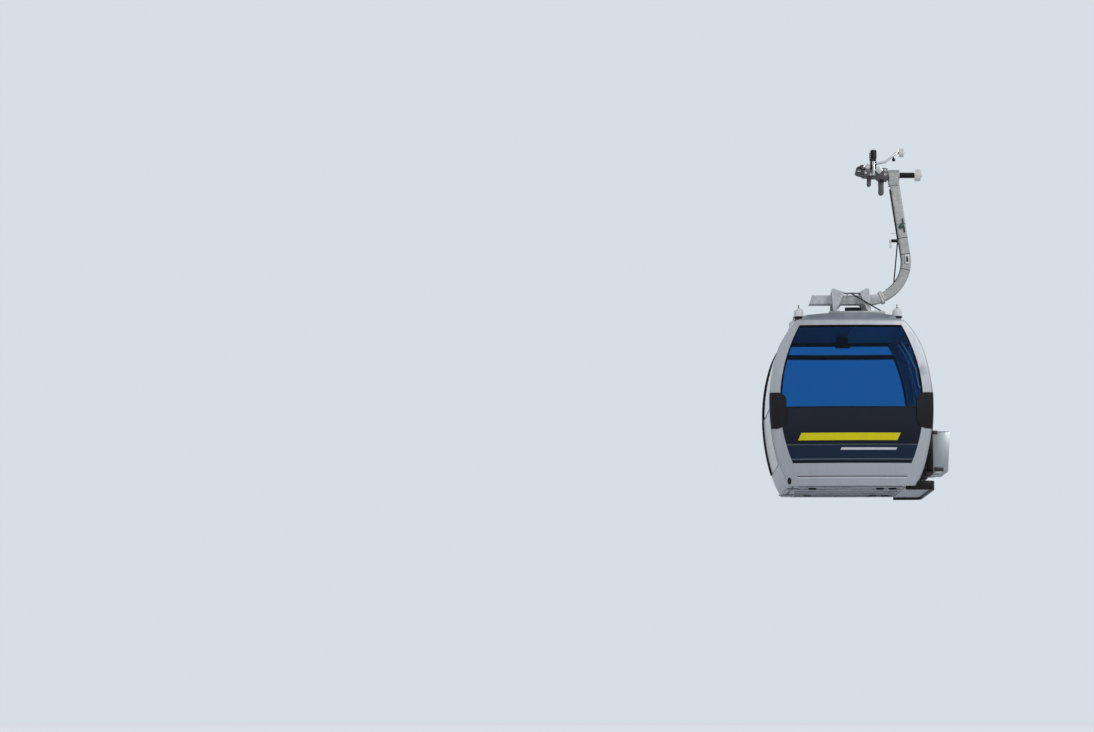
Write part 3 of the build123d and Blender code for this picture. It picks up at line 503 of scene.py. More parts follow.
print("bars on the end panels", len(BARS))

# %% [markdown]
# The finishes themselves. The frame names one slot for each piece, such as silver frame or grip
# casting, and each slot gets one material. A row gives the clean colour and the dirty one, then
# the roughness, the grime, the grain and, where edges are rubbed bright, the wear.

# %% Finishes
PALE_EDGE = (0.55, 0.55, 0.54)
finishes = {
    # the silver frame carries the groove's painted shade and painted highlight
    "silver_frame": weathered("silver_coat", (0.475, 0.485, 0.505), (0.28, 0.28, 0.285),
                              (0.42, 0.60), (2.5, 0.45), (900.0, 0.06), regions=groove_shade_and_highlight,
                              Metallic=0.45, Coat_Weight=0.15, Coat_Roughness=0.15),
    "grip_casting": weathered("zinc_casting", (0.10, 0.098, 0.105), (0.07, 0.06, 0.05),
                              (0.45, 0.8), (14.0, 0.9), (260.0, 0.4), (0.004, 0.6, PALE_EDGE),
                              jaws_region, Metallic=0.55),
    "jaw_steel": weathered("forged_steel", (0.045, 0.045, 0.05), (0.12, 0.09, 0.07),
                           (0.38, 0.6), (12.0, 0.7), (240.0, 0.3), Metallic=0.7),
    "bright_steel": weathered("machined_steel", (0.66, 0.66, 0.65), (0.34, 0.32, 0.29),
                              (0.26, 0.5), (15.0, 0.5), (500.0, 0.08), regions=jaws_region,
                              Metallic=0.85),
    "black_rubber": weathered("black_rubber", (0.008, 0.008, 0.009), (0.035, 0.034, 0.033),
                              (0.30, 0.6), (8.0, 0.3), (420.0, 0.25), Specular_IOR_Level=0.22),
    "roller_white": weathered("cast_nylon", (0.74, 0.73, 0.69), (0.40, 0.38, 0.34),
                              (0.38, 0.6), (16.0, 0.4), (300.0, 0.1),
                              Subsurface_Weight=0.05),
    "dark_panel": weathered("dark_enamel", (0.012, 0.016, 0.026), (0.035, 0.035, 0.038),
                            (0.15, 0.4), (2.0, 0.25), (700.0, 0.03), Specular_IOR_Level=0.35),
    "roof_grey": weathered("roof_paint", (0.25, 0.28, 0.315), (0.17, 0.165, 0.16),
                           (0.5, 0.75), (3.0, 0.6), (500.0, 0.15), Metallic=0.2),
    "cap_white": weathered("white_plastic", (0.80, 0.80, 0.80), (0.50, 0.48, 0.45),
                           (0.3, 0.55), (10.0, 0.35), (400.0, 0.06)),
    "rack_grey": weathered("brushed_aluminium", (0.43, 0.465, 0.475), (0.27, 0.28, 0.26),
                           (0.36, 0.6), (6.0, 0.55), (800.0, 0.1), (0.004, 0.5, PALE_EDGE),
                           Metallic=0.55),
    "floor_plate": weathered("floor_aluminium", (0.44, 0.45, 0.465), (0.07, 0.07, 0.072),
                             (0.42, 0.7), (3.2, 1.0), (300.0, 0.25), Metallic=0.45),
    "dark_lining": weathered("grained_lining", (0.022, 0.025, 0.032), (0.05, 0.05, 0.05),
                             (0.55, 0.7), (4.0, 0.4), (650.0, 0.35)),
    "seat_shell": weathered("moulded_shell", (0.045, 0.052, 0.066), (0.11, 0.11, 0.11),
                            (0.4, 0.6), (5.0, 0.5), (500.0, 0.25)),
}
print("weathered finishes", len(finishes))

# %% [markdown]
# Two finishes need networks of their own. Zinc is hot-dipped, so it shows crystals, and its
# roughness follows them. Glass is tinted through: a faint dust changes its tint and roughness,
# and an end window carries its black border. A few pieces then get a look of their own inside
# their slot, such as the end panels with their stripes. Some of these looks are painted light:
# a paler, sunlit copy of the zinc on the beam and yokes, painted shade on the right brace and the
# ties, painted light on part of the ceiling, and a painted reflection and painted highlights on
# the end panels.

# %% Zinc, glass and special pieces


def zinc_finish(name, regions=None, shades=((0.36, 0.365, 0.355), (0.49, 0.495, 0.485))):
    """Hot-dip galvanised steel: grey crystals, dulled where water has run, bright at its edges."""
    material, tree, shader = new_finish(name, Metallic=0.5)
    crystals = place_group(tree, spangle_group, Scale=55.0).outputs["Value"]
    mask = place_group(tree, grime_group, Scale=6.0, Amount=0.6).outputs["Mask"]
    rubbed = place_group(tree, wear_group, Radius=0.004, Amount=0.5).outputs["Mask"]
    fine = place_group(tree, grain_group, Scale=220.0, Depth=0.2)
    colour = mix_colours(tree, ramp(tree, crystals, 0.25, 0.8), *shades)
    for region, paint in (regions(tree) if regions else ()):
        colour = mix_colours(tree, region, colour, paint)
    colour = mix_colours(tree, mask, colour, (0.22, 0.20, 0.175))
    colour = mix_colours(tree, rubbed, colour, (0.62, 0.62, 0.61))
    link(tree, colour, shader.inputs["Base Color"])
    link(tree, ramp(tree, crystals, 0.2, 0.9, 0.42, 0.58), shader.inputs["Roughness"])
    link(tree, fine.outputs["Normal"], shader.inputs["Normal"])
    return material


def tinted_glass(name, regions=None):
    """Blue-tinted sheet; its faint dust shows in the tint and the roughness."""
    material, tree, shader = new_finish(name, Transmission_Weight=1.0, IOR=1.2, Metallic=0.0)
    mask = place_group(tree, grime_group, Scale=3.0, Amount=0.4).outputs["Mask"]
    colour = mix_colours(tree, mask, (0.083, 0.325, 0.605), (0.098, 0.33, 0.57))
    for region, paint in (regions(tree) if regions else ()):
        colour = mix_colours(tree, region, colour, paint)
    link(tree, colour, shader.inputs["Base Color"])
    link(tree, ramp(tree, mask, 0.0, 1.0, 0.01, 0.09), shader.inputs["Roughness"])
    return material


def livery_and_sheen_finish(name, side):
    """The enamel of an end panel with its stripes, its painted reflection and its painted
    highlights.
    """
    return weathered(name, (0.010, 0.013, 0.022), (0.03, 0.03, 0.034), (0.15, 0.4), (2.0, 0.2),
                     (700.0, 0.03), regions=livery_and_sheen(side), Specular_IOR_Level=0.2)


finishes["galvanised_steel"] = zinc_finish("hot_dip_zinc")
finishes["tinted_glass"] = tinted_glass("tinted_glass")
end_glass = tinted_glass("bordered_glass", frit_region)
# painted light: a paler copy of the zinc for the beam and the yokes, which the sun lights from
# above
sunlit_zinc = zinc_finish("sunlit_zinc", shades=((0.52, 0.53, 0.53), (0.68, 0.69, 0.69)))
green_tag = weathered("green_tag", (0.008, 0.075, 0.06), (0.05, 0.05, 0.05), (0.4, 0.6),
                      (12.0, 0.5), (400.0, 0.1))
special = {          # pieces with a look of their own inside their slot
    "front_window": end_glass,
    "rear_window": end_glass,
    # the end panels' stripes come with a painted reflection and painted highlights
    "front_panel": livery_and_sheen_finish("front_livery_and_sheen", 1),
    "rear_panel": livery_and_sheen_finish("rear_livery_and_sheen", -1),
    # the ceiling's lining, with painted light on its right-hand part
    "ceiling": weathered("ceiling_lining_and_light", (0.36, 0.42, 0.50), (0.22, 0.25, 0.29), (0.5, 0.7),
                         (3.0, 0.3), (650.0, 0.2), regions=ceiling_light_region),
    # zinc braces with painted shade on the right brace and the ties
    "braces": zinc_finish("braces_zinc_and_shade", brace_shade_region),
    # the beam and the yokes get the paler, sunlit copy of the zinc
    "carrying_beam": sunlit_zinc,
    "left_yoke": sunlit_zinc,
    "right_yoke": sunlit_zinc,
}
print("slots", len(finishes), "special pieces", len(special))

# %% [markdown]
# Each piece of the frame is now dressed in the finish of its slot. The record also says which
# body a piece moves with, and the trim of later cells rides on the same bodies.

# %% Dress the frame


def dress(piece, slot_name, paint=None):
    """Give a piece one of the finishes, in place of whatever it had."""
    piece.data.materials.clear()
    piece.data.materials.append(paint or finishes[slot_name])
    piece.data.polygons.foreach_set("material_index", [0] * len(piece.data.polygons))


slots = {part["node"]: part["material_slot"] for part in frame["record"]["subparts"]}
body_of_node = {name: body for body, members in frame["record"]["behaviour"]["bodies"].items()
                for name in members}
for name, slot_name in slots.items():
    dress(nodes[name], slot_name, special.get(name))
print("dressed", len(slots))

# %% [markdown]
# The workbench: a few tools that every later cell uses. Each one deselects everything first,
# because an operator acts on all that is selected, and the frame arrives selected. A piece is
# started from a primitive, shaped in edit mode, and then fitted: its place goes into its mesh,
# its edges are rounded, and it is told which body it rides on.

# %% Workbench: start and shape


def deselect():
    """Leave edit mode and deselect everything."""
    if bpy.context.object and bpy.context.object.mode == "EDIT":
        bpy.ops.object.mode_set(mode="OBJECT")
    bpy.ops.object.select_all(action="DESELECT")


def take(piece):
    """Make one piece the only selected one."""
    deselect()
    piece.select_set(True)
    bpy.context.view_layer.objects.active = piece
    return piece


def open_mesh():
    """Enter edit mode on the active piece with all of its mesh selected."""
    bpy.ops.object.mode_set(mode="EDIT")
    bpy.ops.mesh.select_all(action="SELECT")


def close_mesh():
    bpy.ops.object.mode_set(mode="OBJECT")


def settle():
    """Move the active piece's place, turn and scale into its mesh."""
    bpy.ops.object.transform_apply(location=True, rotation=True, scale=True)
    return bpy.context.active_object


def cuboid(low, high, turn_y=0.0):
    """A block between two corners, turned about its middle in the plane of the cabin's end."""
    deselect()
    low, high = Vector(low), Vector(high)
    bpy.ops.mesh.primitive_cube_add(size=1, location=(low + high) / 2, scale=high - low,
                                    rotation=(0, turn_y, 0))
    return settle()


def rod(start, end, radius, sides=24):
    """A round bar from one point to another."""
    deselect()
    start, end = Vector(start), Vector(end)
    turn = (end - start).to_track_quat("Z", "Y").to_euler()
    bpy.ops.mesh.primitive_cylinder_add(vertices=sides, radius=radius, rotation=turn,
                                        depth=(end - start).length, location=(start + end) / 2)
    return settle()


def turned(rows, sides=32):
    """A turned piece about +Z: a disc extruded and resized through rows of (radius, height)."""
    (radius, height), *rest = rows
    deselect()
    bpy.ops.mesh.primitive_circle_add(vertices=sides, radius=radius, fill_type="NGON",
                                      location=(0, 0, height))
    piece = settle()
    open_mesh()
    for new_radius, new_height in rest:
        bpy.ops.mesh.extrude_region_move(
            TRANSFORM_OT_translate={"value": (0, 0, new_height - height)})
        share = new_radius / radius
        bpy.ops.transform.resize(value=(share, share, 1), center_override=(0, 0, new_height))
        radius, height = new_radius, new_height
    bpy.ops.mesh.select_all(action="SELECT")
    bpy.ops.mesh.normals_make_consistent(inside=False)
    close_mesh()
    return piece


def merged_copy(node_name):
    """A copy of a CAD piece with its loose triangles merged into one skin."""
    piece = bpy.data.objects.new(node_name + "_copy", nodes[node_name].data.copy())
    scene.collection.objects.link(piece)
    take(piece)
    open_mesh()
    bpy.ops.mesh.remove_doubles(threshold=1e-5)
    close_mesh()
    return piece


print("starting tools ready")

# %% [markdown]
# The second half of the workbench finishes, copies and places. What repeats is modelled once and
# then copied with a mesh of its own for each spot, and pieces that come in mirrored pairs get
# their twin's faces turned back outwards, because a mirror turns them inside out.

# %% Workbench: finish and copy
MIRROR_Y = Matrix.Scale(-1, 4, (0, 1, 0))


def modify(piece, kind, **settings):
    """Add a modifier and apply it at once."""
    take(piece)
    change = piece.modifiers.new("change", kind)
    for key, value in settings.items():
        setattr(change, key, value)
    bpy.ops.object.modifier_apply(modifier="change")
    return piece


def fit(piece, name, body, slot_name, rounding=0.0, smooth=35, paint=None):
    """Round a piece's edges, shade it, name it, and tell it what carries it."""
    if rounding:
        modify(piece, "BEVEL", width=rounding, segments=2, limit_method="ANGLE",
               angle_limit=radians(30))
    if smooth:
        take(piece)
        bpy.ops.object.shade_smooth_by_angle(angle=radians(smooth))
    piece.name = piece.data.name = name
    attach(piece, body)
    dress(piece, slot_name, paint)
    return piece


def copy_moved(piece, move):
    """A copy of a piece with its own mesh, moved inside that mesh."""
    twin = bpy.data.objects.new(piece.name, piece.data.copy())
    twin.data.transform(move)
    scene.collection.objects.link(twin)
    return twin


def joined(pieces):
    """Join pieces of one body and one finish into one mesh."""
    take(pieces[0])
    for piece in pieces[1:]:
        piece.select_set(True)
    bpy.ops.object.join()
    return bpy.context.active_object


def put(piece, moves):
    """Copy a piece by each matrix and join the copies into one."""
    made = [copy_moved(piece, move) for move in moves]
    bpy.data.objects.remove(piece)
    return joined(made)


def mirror_twin(piece):
    """The mirror image of a piece across the plane y = 0, with its faces set right."""
    twin = take(copy_moved(piece, MIRROR_Y))
    open_mesh()
    bpy.ops.mesh.flip_normals()
    close_mesh()
    return twin


def shift(x=0.0, y=0.0, z=0.0):
    return Matrix.Translation((x, y, z))


def facing(spot, way, spin=0.0):
    """A move that stands a piece on a spot with its +Z turned to face a way."""
    return (Matrix.Translation(spot) @ Vector(way).to_track_quat("Z", "Y").to_matrix().to_4x4()
            @ Matrix.Rotation(spin, 4, "Z"))


print("workbench ready")

# %% [markdown]
# The cabin's shells, glass and bumpers are curved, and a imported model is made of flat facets. On
# a glossy surface each facet would catch its own reflection. A copy of the mesh is merged, its
# curved faces are shaded as one with each face weighted by its area, and real edges stay sharp:
# the copy then stands for its piece. Flat-sided steel gets a small bevel as well, because no real
# edge is perfectly sharp and the thin highlight along it is what makes it read as metal.

# %% Smooth shells
FACET_TURN = radians(20)         # facets that meet at less than this are one curved surface
CURVED = (
    "front_upper_frame", "rear_upper_frame", "front_lower_frame", "rear_lower_frame",
    "front_window", "rear_window", "rear_vent_pane", "left_window", "left_panel",
    "corner_windows", "corner_panels", "front_panel", "rear_panel", "corner_bumpers",
    "roof_side_rails", "door_posts", "front_door", "rear_door", "front_door_pane",
    "rear_door_pane", "sills", "roof", "hanger_arm", "shaft_sleeve", "spring_caps",
    "runner_roller", "lever_roller", "door_lever", "left_guide", "roof_buffer", "grip_springs",
)
for name in CURVED:
    shell = merged_copy(name)
    take(shell)
    bpy.ops.object.shade_smooth_by_angle(angle=FACET_TURN)
    modify(shell, "WEIGHTED_NORMAL", keep_sharp=True, weight=100, mode="FACE_AREA")
    fit(shell, name + "_shell", body_of_node[name], slots[name], smooth=0, paint=special.get(name))
    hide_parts(name)

EDGED = (            # piece, how far its edges are rounded
    ("left_yoke", 0.003), ("right_yoke", 0.003), ("carrying_beam", 0.003),
    ("roof_rails", 0.002), ("guide_plates", 0.003), ("grip_tongue", 0.003),
    ("step", 0.003), ("step_edge", 0.004), ("front_ski_rack", 0.0012),
    ("rear_ski_rack", 0.0012), ("ceiling_unit", 0.006), ("front_seat", 0.008),
    ("rear_seat", 0.008), ("grip_body", 0.002), ("grip_lever", 0.002),
)
for name, rounding in EDGED:
    block = merged_copy(name)
    open_mesh()
    bpy.ops.mesh.dissolve_limited(angle_limit=radians(1.0))
    close_mesh()
    fit(block, name + "_block", body_of_node[name], slots[name], rounding, smooth=40,
        paint=special.get(name))
    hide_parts(name)
print("shells", len(CURVED), "blocks", len(EDGED))

# %% [markdown]
# Every sheet of glass and every panel sits in a rubber profile. Drawing each profile by hand
# would repeat outlines that the frame already holds, so the rim is taken from the piece itself:
# the edges where its outward faces end are copied, turned into a curve, and given a round
# section. The same tool lays the thicker edging round the door leaves and down the left wall.

# %% Rubber beads
OUTWARD = 0.6                    # cosine of the widest angle at which a face counts as outward


def rim_bead(node_names, way, radius, name, where=None, offset=(0, 0, 0)):
    """A rubber bead along the outer rims of CAD pieces, where the test on a point allows it."""
    beads = []
    for node_name in node_names:
        piece = merged_copy(node_name)
        outward = {}
        for face in piece.data.polygons:
            if face.normal.dot(Vector(way)) > OUTWARD:
                for key in face.edge_keys:
                    outward[key] = outward.get(key, 0) + 1
        bpy.ops.object.mode_set(mode="EDIT")
        bpy.ops.mesh.select_mode(type="EDGE")
        bpy.ops.mesh.select_all(action="DESELECT")
        close_mesh()
        points = piece.data.vertices
        for edge in piece.data.edges:
            edge.select = outward.get(edge.key) == 1 and (
                where is None or all(where(points[end].co) for end in edge.vertices))
        bpy.ops.object.mode_set(mode="EDIT")
        bpy.ops.mesh.duplicate()
        bpy.ops.mesh.separate(type="SELECTED")
        close_mesh()
        line = [made for made in bpy.context.selected_objects if made is not piece][0]
        bpy.data.objects.remove(piece)
        take(line)
        bpy.ops.object.convert(target="CURVE")
        line = bpy.context.active_object
        line.data.bevel_depth = radius
        line.data.bevel_resolution = 2
        line.data.use_fill_caps = True
        bpy.ops.object.convert(target="MESH")
        beads.append(bpy.context.active_object)
    bead = joined(beads)
    bead.data.transform(Matrix.Translation(offset))
    return fit(bead, name, body_of_node[node_names[0]], "black_rubber", smooth=60)


FRONT, REAR, LEFT, RIGHT = (0, -1, 0), (0, 1, 0), (-1, 0, 0), (1, 0, 0)
PROFILES = (         # pieces, the way they face, the bead's radius, its name
    (("front_window",), FRONT, 0.006, "front_window_profile"),
    (("rear_window", "rear_vent_pane"), REAR, 0.006, "rear_window_profile"),
    (("front_panel",), FRONT, 0.004, "front_panel_profile"),
    (("rear_panel",), REAR, 0.004, "rear_panel_profile"),
    (("left_window", "left_panel"), LEFT, 0.006, "left_wall_profile"),
    (("corner_windows", "corner_panels"), RIGHT, 0.006, "corner_profile"),
    (("front_door_pane",), RIGHT, 0.006, "front_pane_profile"),
    (("rear_door_pane",), RIGHT, 0.006, "rear_pane_profile"),
)
for members, way, radius, name in PROFILES:
    rim_bead(members, way, radius, name)
print("profiles", len(PROFILES))

# %% [markdown]
# Two rims carry more rubber. The door leaves close on a thick edging, and a fat strip runs down
# the left wall's rear edge, which the picture shows as a black line on the cabin's outline. That
# wall narrows towards its top and bottom, so its rear edge is found height by height.

# %% Door edgings and the left edge
LEAF_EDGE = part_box("rear_door")[1].y - 0.012
LEAVES_MEET = 0.012              # within this of y = 0 lie the edges where the leaves meet
LEVEL = 0.02                     # points within this height of each other are on one level
LEFT_WALL = ("left_window", "left_panel")
left_points = [vertex.co.copy() for name in LEFT_WALL for vertex in nodes[name].data.vertices]


def on_leaf_rim(point):
    return abs(point.y) > LEAF_EDGE or abs(point.y) < LEAVES_MEET


def on_rear_rim(point):
    """True for the rearmost points of the left wall at each height."""
    level = [other.y for other in left_points if abs(other.z - point.z) < LEVEL]
    return point.y > max(level) - 0.010


for leaf in ("front_door", "rear_door"):
    rim_bead((leaf,), RIGHT, 0.010, leaf + "_edging", on_leaf_rim)
rim_bead(LEFT_WALL, LEFT, 0.012, "left_edge_rubber", on_rear_rim, (-0.005, 0, 0))
print("left wall points", len(left_points))

# %% [markdown]
# Bolts hold the real thing together, and they give the eye its scale. One hexagon head on a
# washer is turned once, then set on every spot of a row, each copy with its own mesh, and the
# row is joined. A head has few faces, because the same shape is repeated many times.

# %% Bolts


def bolt_head(size):
    """A hexagon head with a chamfer, on its washer; size is the head's radius."""
    washer = turned(((1.35 * size, -0.1 * size), (1.35 * size, 0.18 * size)), 20)
    head = turned(((size, 0.1 * size), (size, 0.62 * size), (0.82 * size, 0.8 * size)), 6)
    return joined([washer, head])


def bolts(name, body, size, spots, way):
    """Bolt heads on these spots, all facing one way, as one piece."""
    moves = [facing(spot, way, 0.4 * index) for index, spot in enumerate(spots)]
    return fit(put(bolt_head(size), moves), name, body, "bright_steel", smooth=30)


RAIL_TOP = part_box("roof_rails")[1].z
RAIL_Y = 0.395
RAIL_BOLT_X = (-0.375, -0.285, -0.10, 0.04, 0.14, 0.23)
bolts("rail_bolts", "cabin", 0.011,
      [(x, side * RAIL_Y, RAIL_TOP) for side in (-1, 1) for x in RAIL_BOLT_X], (0, 0, 1))

CASTING_BOLTS = ((0.305, -0.055), (0.305, -0.005), (0.135, -0.055), (0.075, -0.035))
CASTING_Y, PLATE_Y, EAR_Y = 0.0995, 0.1195, 0.104    # how far out the grip's flat sides lie
SIDES = (("front", -1, FRONT), ("rear", 1, REAR))
for label, side, way in SIDES:
    bolts(f"casting_bolts_{label}", "grip", 0.010,
          [(x, side * CASTING_Y, z) for x, z in CASTING_BOLTS], way)
    bolts(f"plate_bolt_{label}", "grip", 0.013, [(0.231, side * PLATE_Y, -0.005)], way)
    bolts(f"lever_pin_nut_{label}", "grip", 0.020, [(0.098, side * EAR_Y, 0.034)], way)
bolts("runner_nut", "runner_roller", 0.016,
      [(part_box("runner_roller")[1].x - 0.002, 0, -0.05)], RIGHT)
bolts("lever_roller_nut", "lever_roller", 0.013,
      [(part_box("lever_roller")[1].x - 0.002, 0, 0.221)], RIGHT)
print("rail bolts", 2 * len(RAIL_BOLT_X), "casting bolts", 2 * len(CASTING_BOLTS))

# %% [markdown]
# The arm is bolted to the beam through two flanges, part of the way round the bend. The bend's
# own centre and radius give the flange's place and the way it faces, so the heads sit square on
# it whatever its angle.

# %% Flange bolts
BEND_X, BEND_Z, BEND_RADIUS = 0.0835, -1.084, 0.461
BEND_CENTRE = Vector((BEND_X, 0, BEND_Z))
FLANGE_TURN = radians(20.7)
FLANGE_FACE = 0.0145             # from the joint to the face that the heads sit on
flange_out = Vector((sin(FLANGE_TURN), 0, -cos(FLANGE_TURN)))
flange_way = Vector((cos(FLANGE_TURN), 0, sin(FLANGE_TURN)))
flange_middle = BEND_CENTRE + BEND_RADIUS * flange_out
heads = [(radial, y) for radial in (-0.066, 0.066) for y in (-0.036, 0.036)]
for label, side in (("arm", 1), ("beam", -1)):
    face = flange_middle + side * FLANGE_FACE * flange_way
    spots = [face + radial * flange_out + Vector((0, y, 0)) for radial, y in heads]
    bolts(f"flange_bolts_{label}", "cabin", 0.0085, spots, side * flange_way)
print("flange at", [round(v, 3) for v in flange_middle])

# %% [markdown]
# The four housings on the roof's corners are white bells that stand over their rubber buffers.
# The plain caps of the frame give their places: a bell with a domed top, a rim of black rubber
# and a short terminal on top are turned once and set on all four.

# %% Corner bells
CAP_RADIUS = 0.038
CAP_LOW, CAP_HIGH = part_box("corner_caps")
cap_spots = [shift(x, y, 0) for x in (CAP_LOW.x + CAP_RADIUS, CAP_HIGH.x - CAP_RADIUS)
             for y in (CAP_LOW.y + CAP_RADIUS, CAP_HIGH.y - CAP_RADIUS)]
BELL_LOW = CAP_LOW.z - 0.016
BELL_TOP = BELL_LOW + 0.103


def profile(base, *rows):
    """Rows of (radius, height over a base) as rows of (radius, height)."""
    return [(radius, base + height) for radius, height in rows]


bell = turned(profile(BELL_LOW, (0.050, 0.0), (0.056, 0.004), (0.0555, 0.052), (0.052, 0.072),
                      (0.043, 0.088), (0.028, 0.099), (0.014, 0.103)), 48)
bell = fit(put(bell, cap_spots), "corner_bells", "cabin", "cap_white", smooth=50)
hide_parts("corner_caps")
rim = turned(profile(BELL_LOW, (0.056, -0.014), (0.063, -0.010), (0.063, -0.001),
                     (0.056, 0.003)), 48)
fit(put(rim, cap_spots), "bell_rims", "cabin", "black_rubber", smooth=50)
terminal = turned(profile(BELL_TOP, (0.013, -0.002), (0.013, 0.007), (0.005, 0.010),
                          (0.0045, 0.030), (0.007, 0.032), (0.007, 0.038), (0.003, 0.041)), 16)
fit(put(terminal, cap_spots), "bell_terminals", "cabin", "jaw_steel", smooth=40)
print("bells from", round(BELL_LOW, 3), "to", round(BELL_TOP, 3))

# %% [markdown]
# Bands, a plate and tags on the hanger. The bands are slices of the arm's own mesh, cut out
# between two planes and thickened, so that they lie on its rounded sides wherever the arm bends.

# %% Hanger bands and plates
LEAN = radians(8.0)              # the arm's straight leg leans to the left as it rises
leg_way = Vector((-sin(LEAN), 0, cos(LEAN)))
leg_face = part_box("hanger_arm")[0].y + 0.016
BAND_TURN = radians(12.5)        # how far round the bend the lowest band sits
BAND_WIDTH, BAND_PROUD = 0.007, 0.0015


def slice_band(node_name, middle, way, width, proud, name, slot_name):
    """A band round a CAD piece: what lies between two planes, thickened outwards."""
    piece = merged_copy(node_name)
    bpy.ops.object.mode_set(mode="EDIT")
    for side in (-1, 1):
        bpy.ops.mesh.select_all(action="SELECT")
        bpy.ops.mesh.bisect(plane_co=Vector(middle) + side * width / 2 * Vector(way),
                            plane_no=side * Vector(way), clear_outer=True)
    close_mesh()
    modify(piece, "SOLIDIFY", thickness=proud, offset=1.0)
    return fit(piece, name, body_of_node[node_name], slot_name, smooth=30)


bend_out = Vector((cos(BAND_TURN), 0, -sin(BAND_TURN)))
BANDS = (            # middle of the band, the arm's direction there
    ((0.510, 0, -0.806), leg_way),
    ((0.537, 0, -1.000), leg_way),
    (BEND_CENTRE + BEND_RADIUS * bend_out, Vector((-bend_out.z, 0, bend_out.x))),
)
for index, (middle, way) in enumerate(BANDS):
    slice_band("hanger_arm", middle, way, BAND_WIDTH, BAND_PROUD, f"arm_band_{index + 1}",
               "black_rubber")
slice_band("hanger_arm", (0.488, 0, -0.640), leg_way, 0.004, 0.0012, "arm_seam", "black_rubber")

FLAT = (             # name, slot, x, depth before the leg's face, z, turn, rounding, paint
    ("blank_plate", "cap_white", (0.528, 0.574), (0.0185, 0.0155), (-1.118, -1.008), -LEAN / 3,
     0.001, None),
    ("plate_field", "dark_panel", (0.540, 0.564), (0.0200, 0.0183), (-1.098, -1.030), -LEAN / 3,
     0.0005, None),
    ("green_tag", "dark_panel", (0.468, 0.512), (0.0175, 0.0155), (-0.700, -0.634), radians(38),
     0.0008, green_tag),
    ("arm_strip", "jaw_steel", (0.508, 0.524), (0.0172, 0.0155), (-0.745, -0.575), -LEAN,
     0.0006, None),
)
for name, slot_name, x, depth, z, turn, rounding, paint in FLAT:
    flat = cuboid((x[0], leg_face - depth[0], z[0]), (x[1], leg_face - depth[1], z[1]), turn)
    fit(flat, name, "cabin", slot_name, rounding, paint=paint)
print("bands", len(BANDS) + 1, "plates and tags", len(FLAT))

# %% [markdown]
# Smaller fittings of the hanger: the sleeve on the doors' lever, a tube that hugs the inside of
# the bend beside the doors' cable, and a thin feeler wire. A torus cut by two planes gives the
# bent part of the tube with the bend's own centre, so it keeps its distance from the arm.

# %% Hanger fittings
sleeve = rod((0.372, 0, -0.835), (0.452, 0, -0.835), 0.0195)
fit(sleeve, "lever_sleeve", "cabin", "black_rubber", 0.003)

TUBE = 0.005                     # the tube's own radius
ARM_HALF = 0.054                 # from the arm's middle line to its inner side
TUBE_CUTS = ((8, 1), (-58, -1))  # degrees round the bend, and the side that is cut away
tube_radius = BEND_RADIUS - ARM_HALF - TUBE
deselect()
bpy.ops.mesh.primitive_torus_add(location=BEND_CENTRE, rotation=(pi / 2, 0, 0),
                                 major_radius=tube_radius, minor_radius=TUBE,
                                 major_segments=180, minor_segments=10)
tube = settle()
bpy.ops.object.mode_set(mode="EDIT")
for turn, side in TUBE_CUTS:
    bpy.ops.mesh.select_all(action="SELECT")
    bpy.ops.mesh.bisect(plane_co=BEND_CENTRE, clear_outer=True, use_fill=True,
                        plane_no=(-side * sin(radians(turn)), 0, side * cos(radians(turn))))
close_mesh()
bend_start = BEND_CENTRE + tube_radius * Vector((cos(LEAN), 0, sin(LEAN)))
run_up = rod(bend_start, bend_start + 0.17 * leg_way, TUBE, 10)
fit(joined([tube, run_up]), "inner_tube", "cabin", "black_rubber", smooth=60)

feeler = rod((0.368, 0, -0.749), (0.460, 0, -0.749), 0.0022, 10)
fit(feeler, "feeler_wire", "cabin", "jaw_steel", smooth=60)
clip = cuboid((0.424, -0.011, -0.700), (0.452, 0.011, -0.690), LEAN)
clips = [shift(x, 0, z) for x, z in ((0, 0), (-0.017, 0.12), (-0.034, 0.24), (-0.048, 0.34))]
fit(put(clip, clips), "cable_clips", "cabin", "jaw_steel", 0.0015)
print("tube radius", round(tube_radius, 3), "clips", len(clips))

# %% [markdown]
# On the grip, flat straps tie the casting to the spring seats, a stop hangs under the control
# arm, and a grease nipple sits on each ear. The strap is a block, waisted by moving the corners
# of its middle row, and mirrored across the plane y = 0. The stop and the nipples are turned.

# %% Grip fittings
STRAP_MIDDLE = 0.015             # the strap is waisted at this height
STRAP_WAIST = 0.006
STRAP_FACE = 0.1155
strap = cuboid((0.152, -0.116, -0.070), (0.186, -0.110, 0.100))
open_mesh()
bpy.ops.mesh.subdivide(number_cuts=1)
close_mesh()
for vertex in strap.data.vertices:
    if abs(vertex.co.z - STRAP_MIDDLE) < 0.001:
        if vertex.co.x < 0.16:
            vertex.co.x += STRAP_WAIST
        elif vertex.co.x > 0.18:
            vertex.co.x -= STRAP_WAIST
strap = joined([strap, mirror_twin(strap)])
fit(strap, "spring_straps", "grip", "bright_steel", 0.0015)
for label, side, way in SIDES:
    bolts(f"strap_bolts_{label}", "grip", 0.008,
          [(0.169, side * STRAP_FACE, z) for z in (-0.052, 0.082)], way)

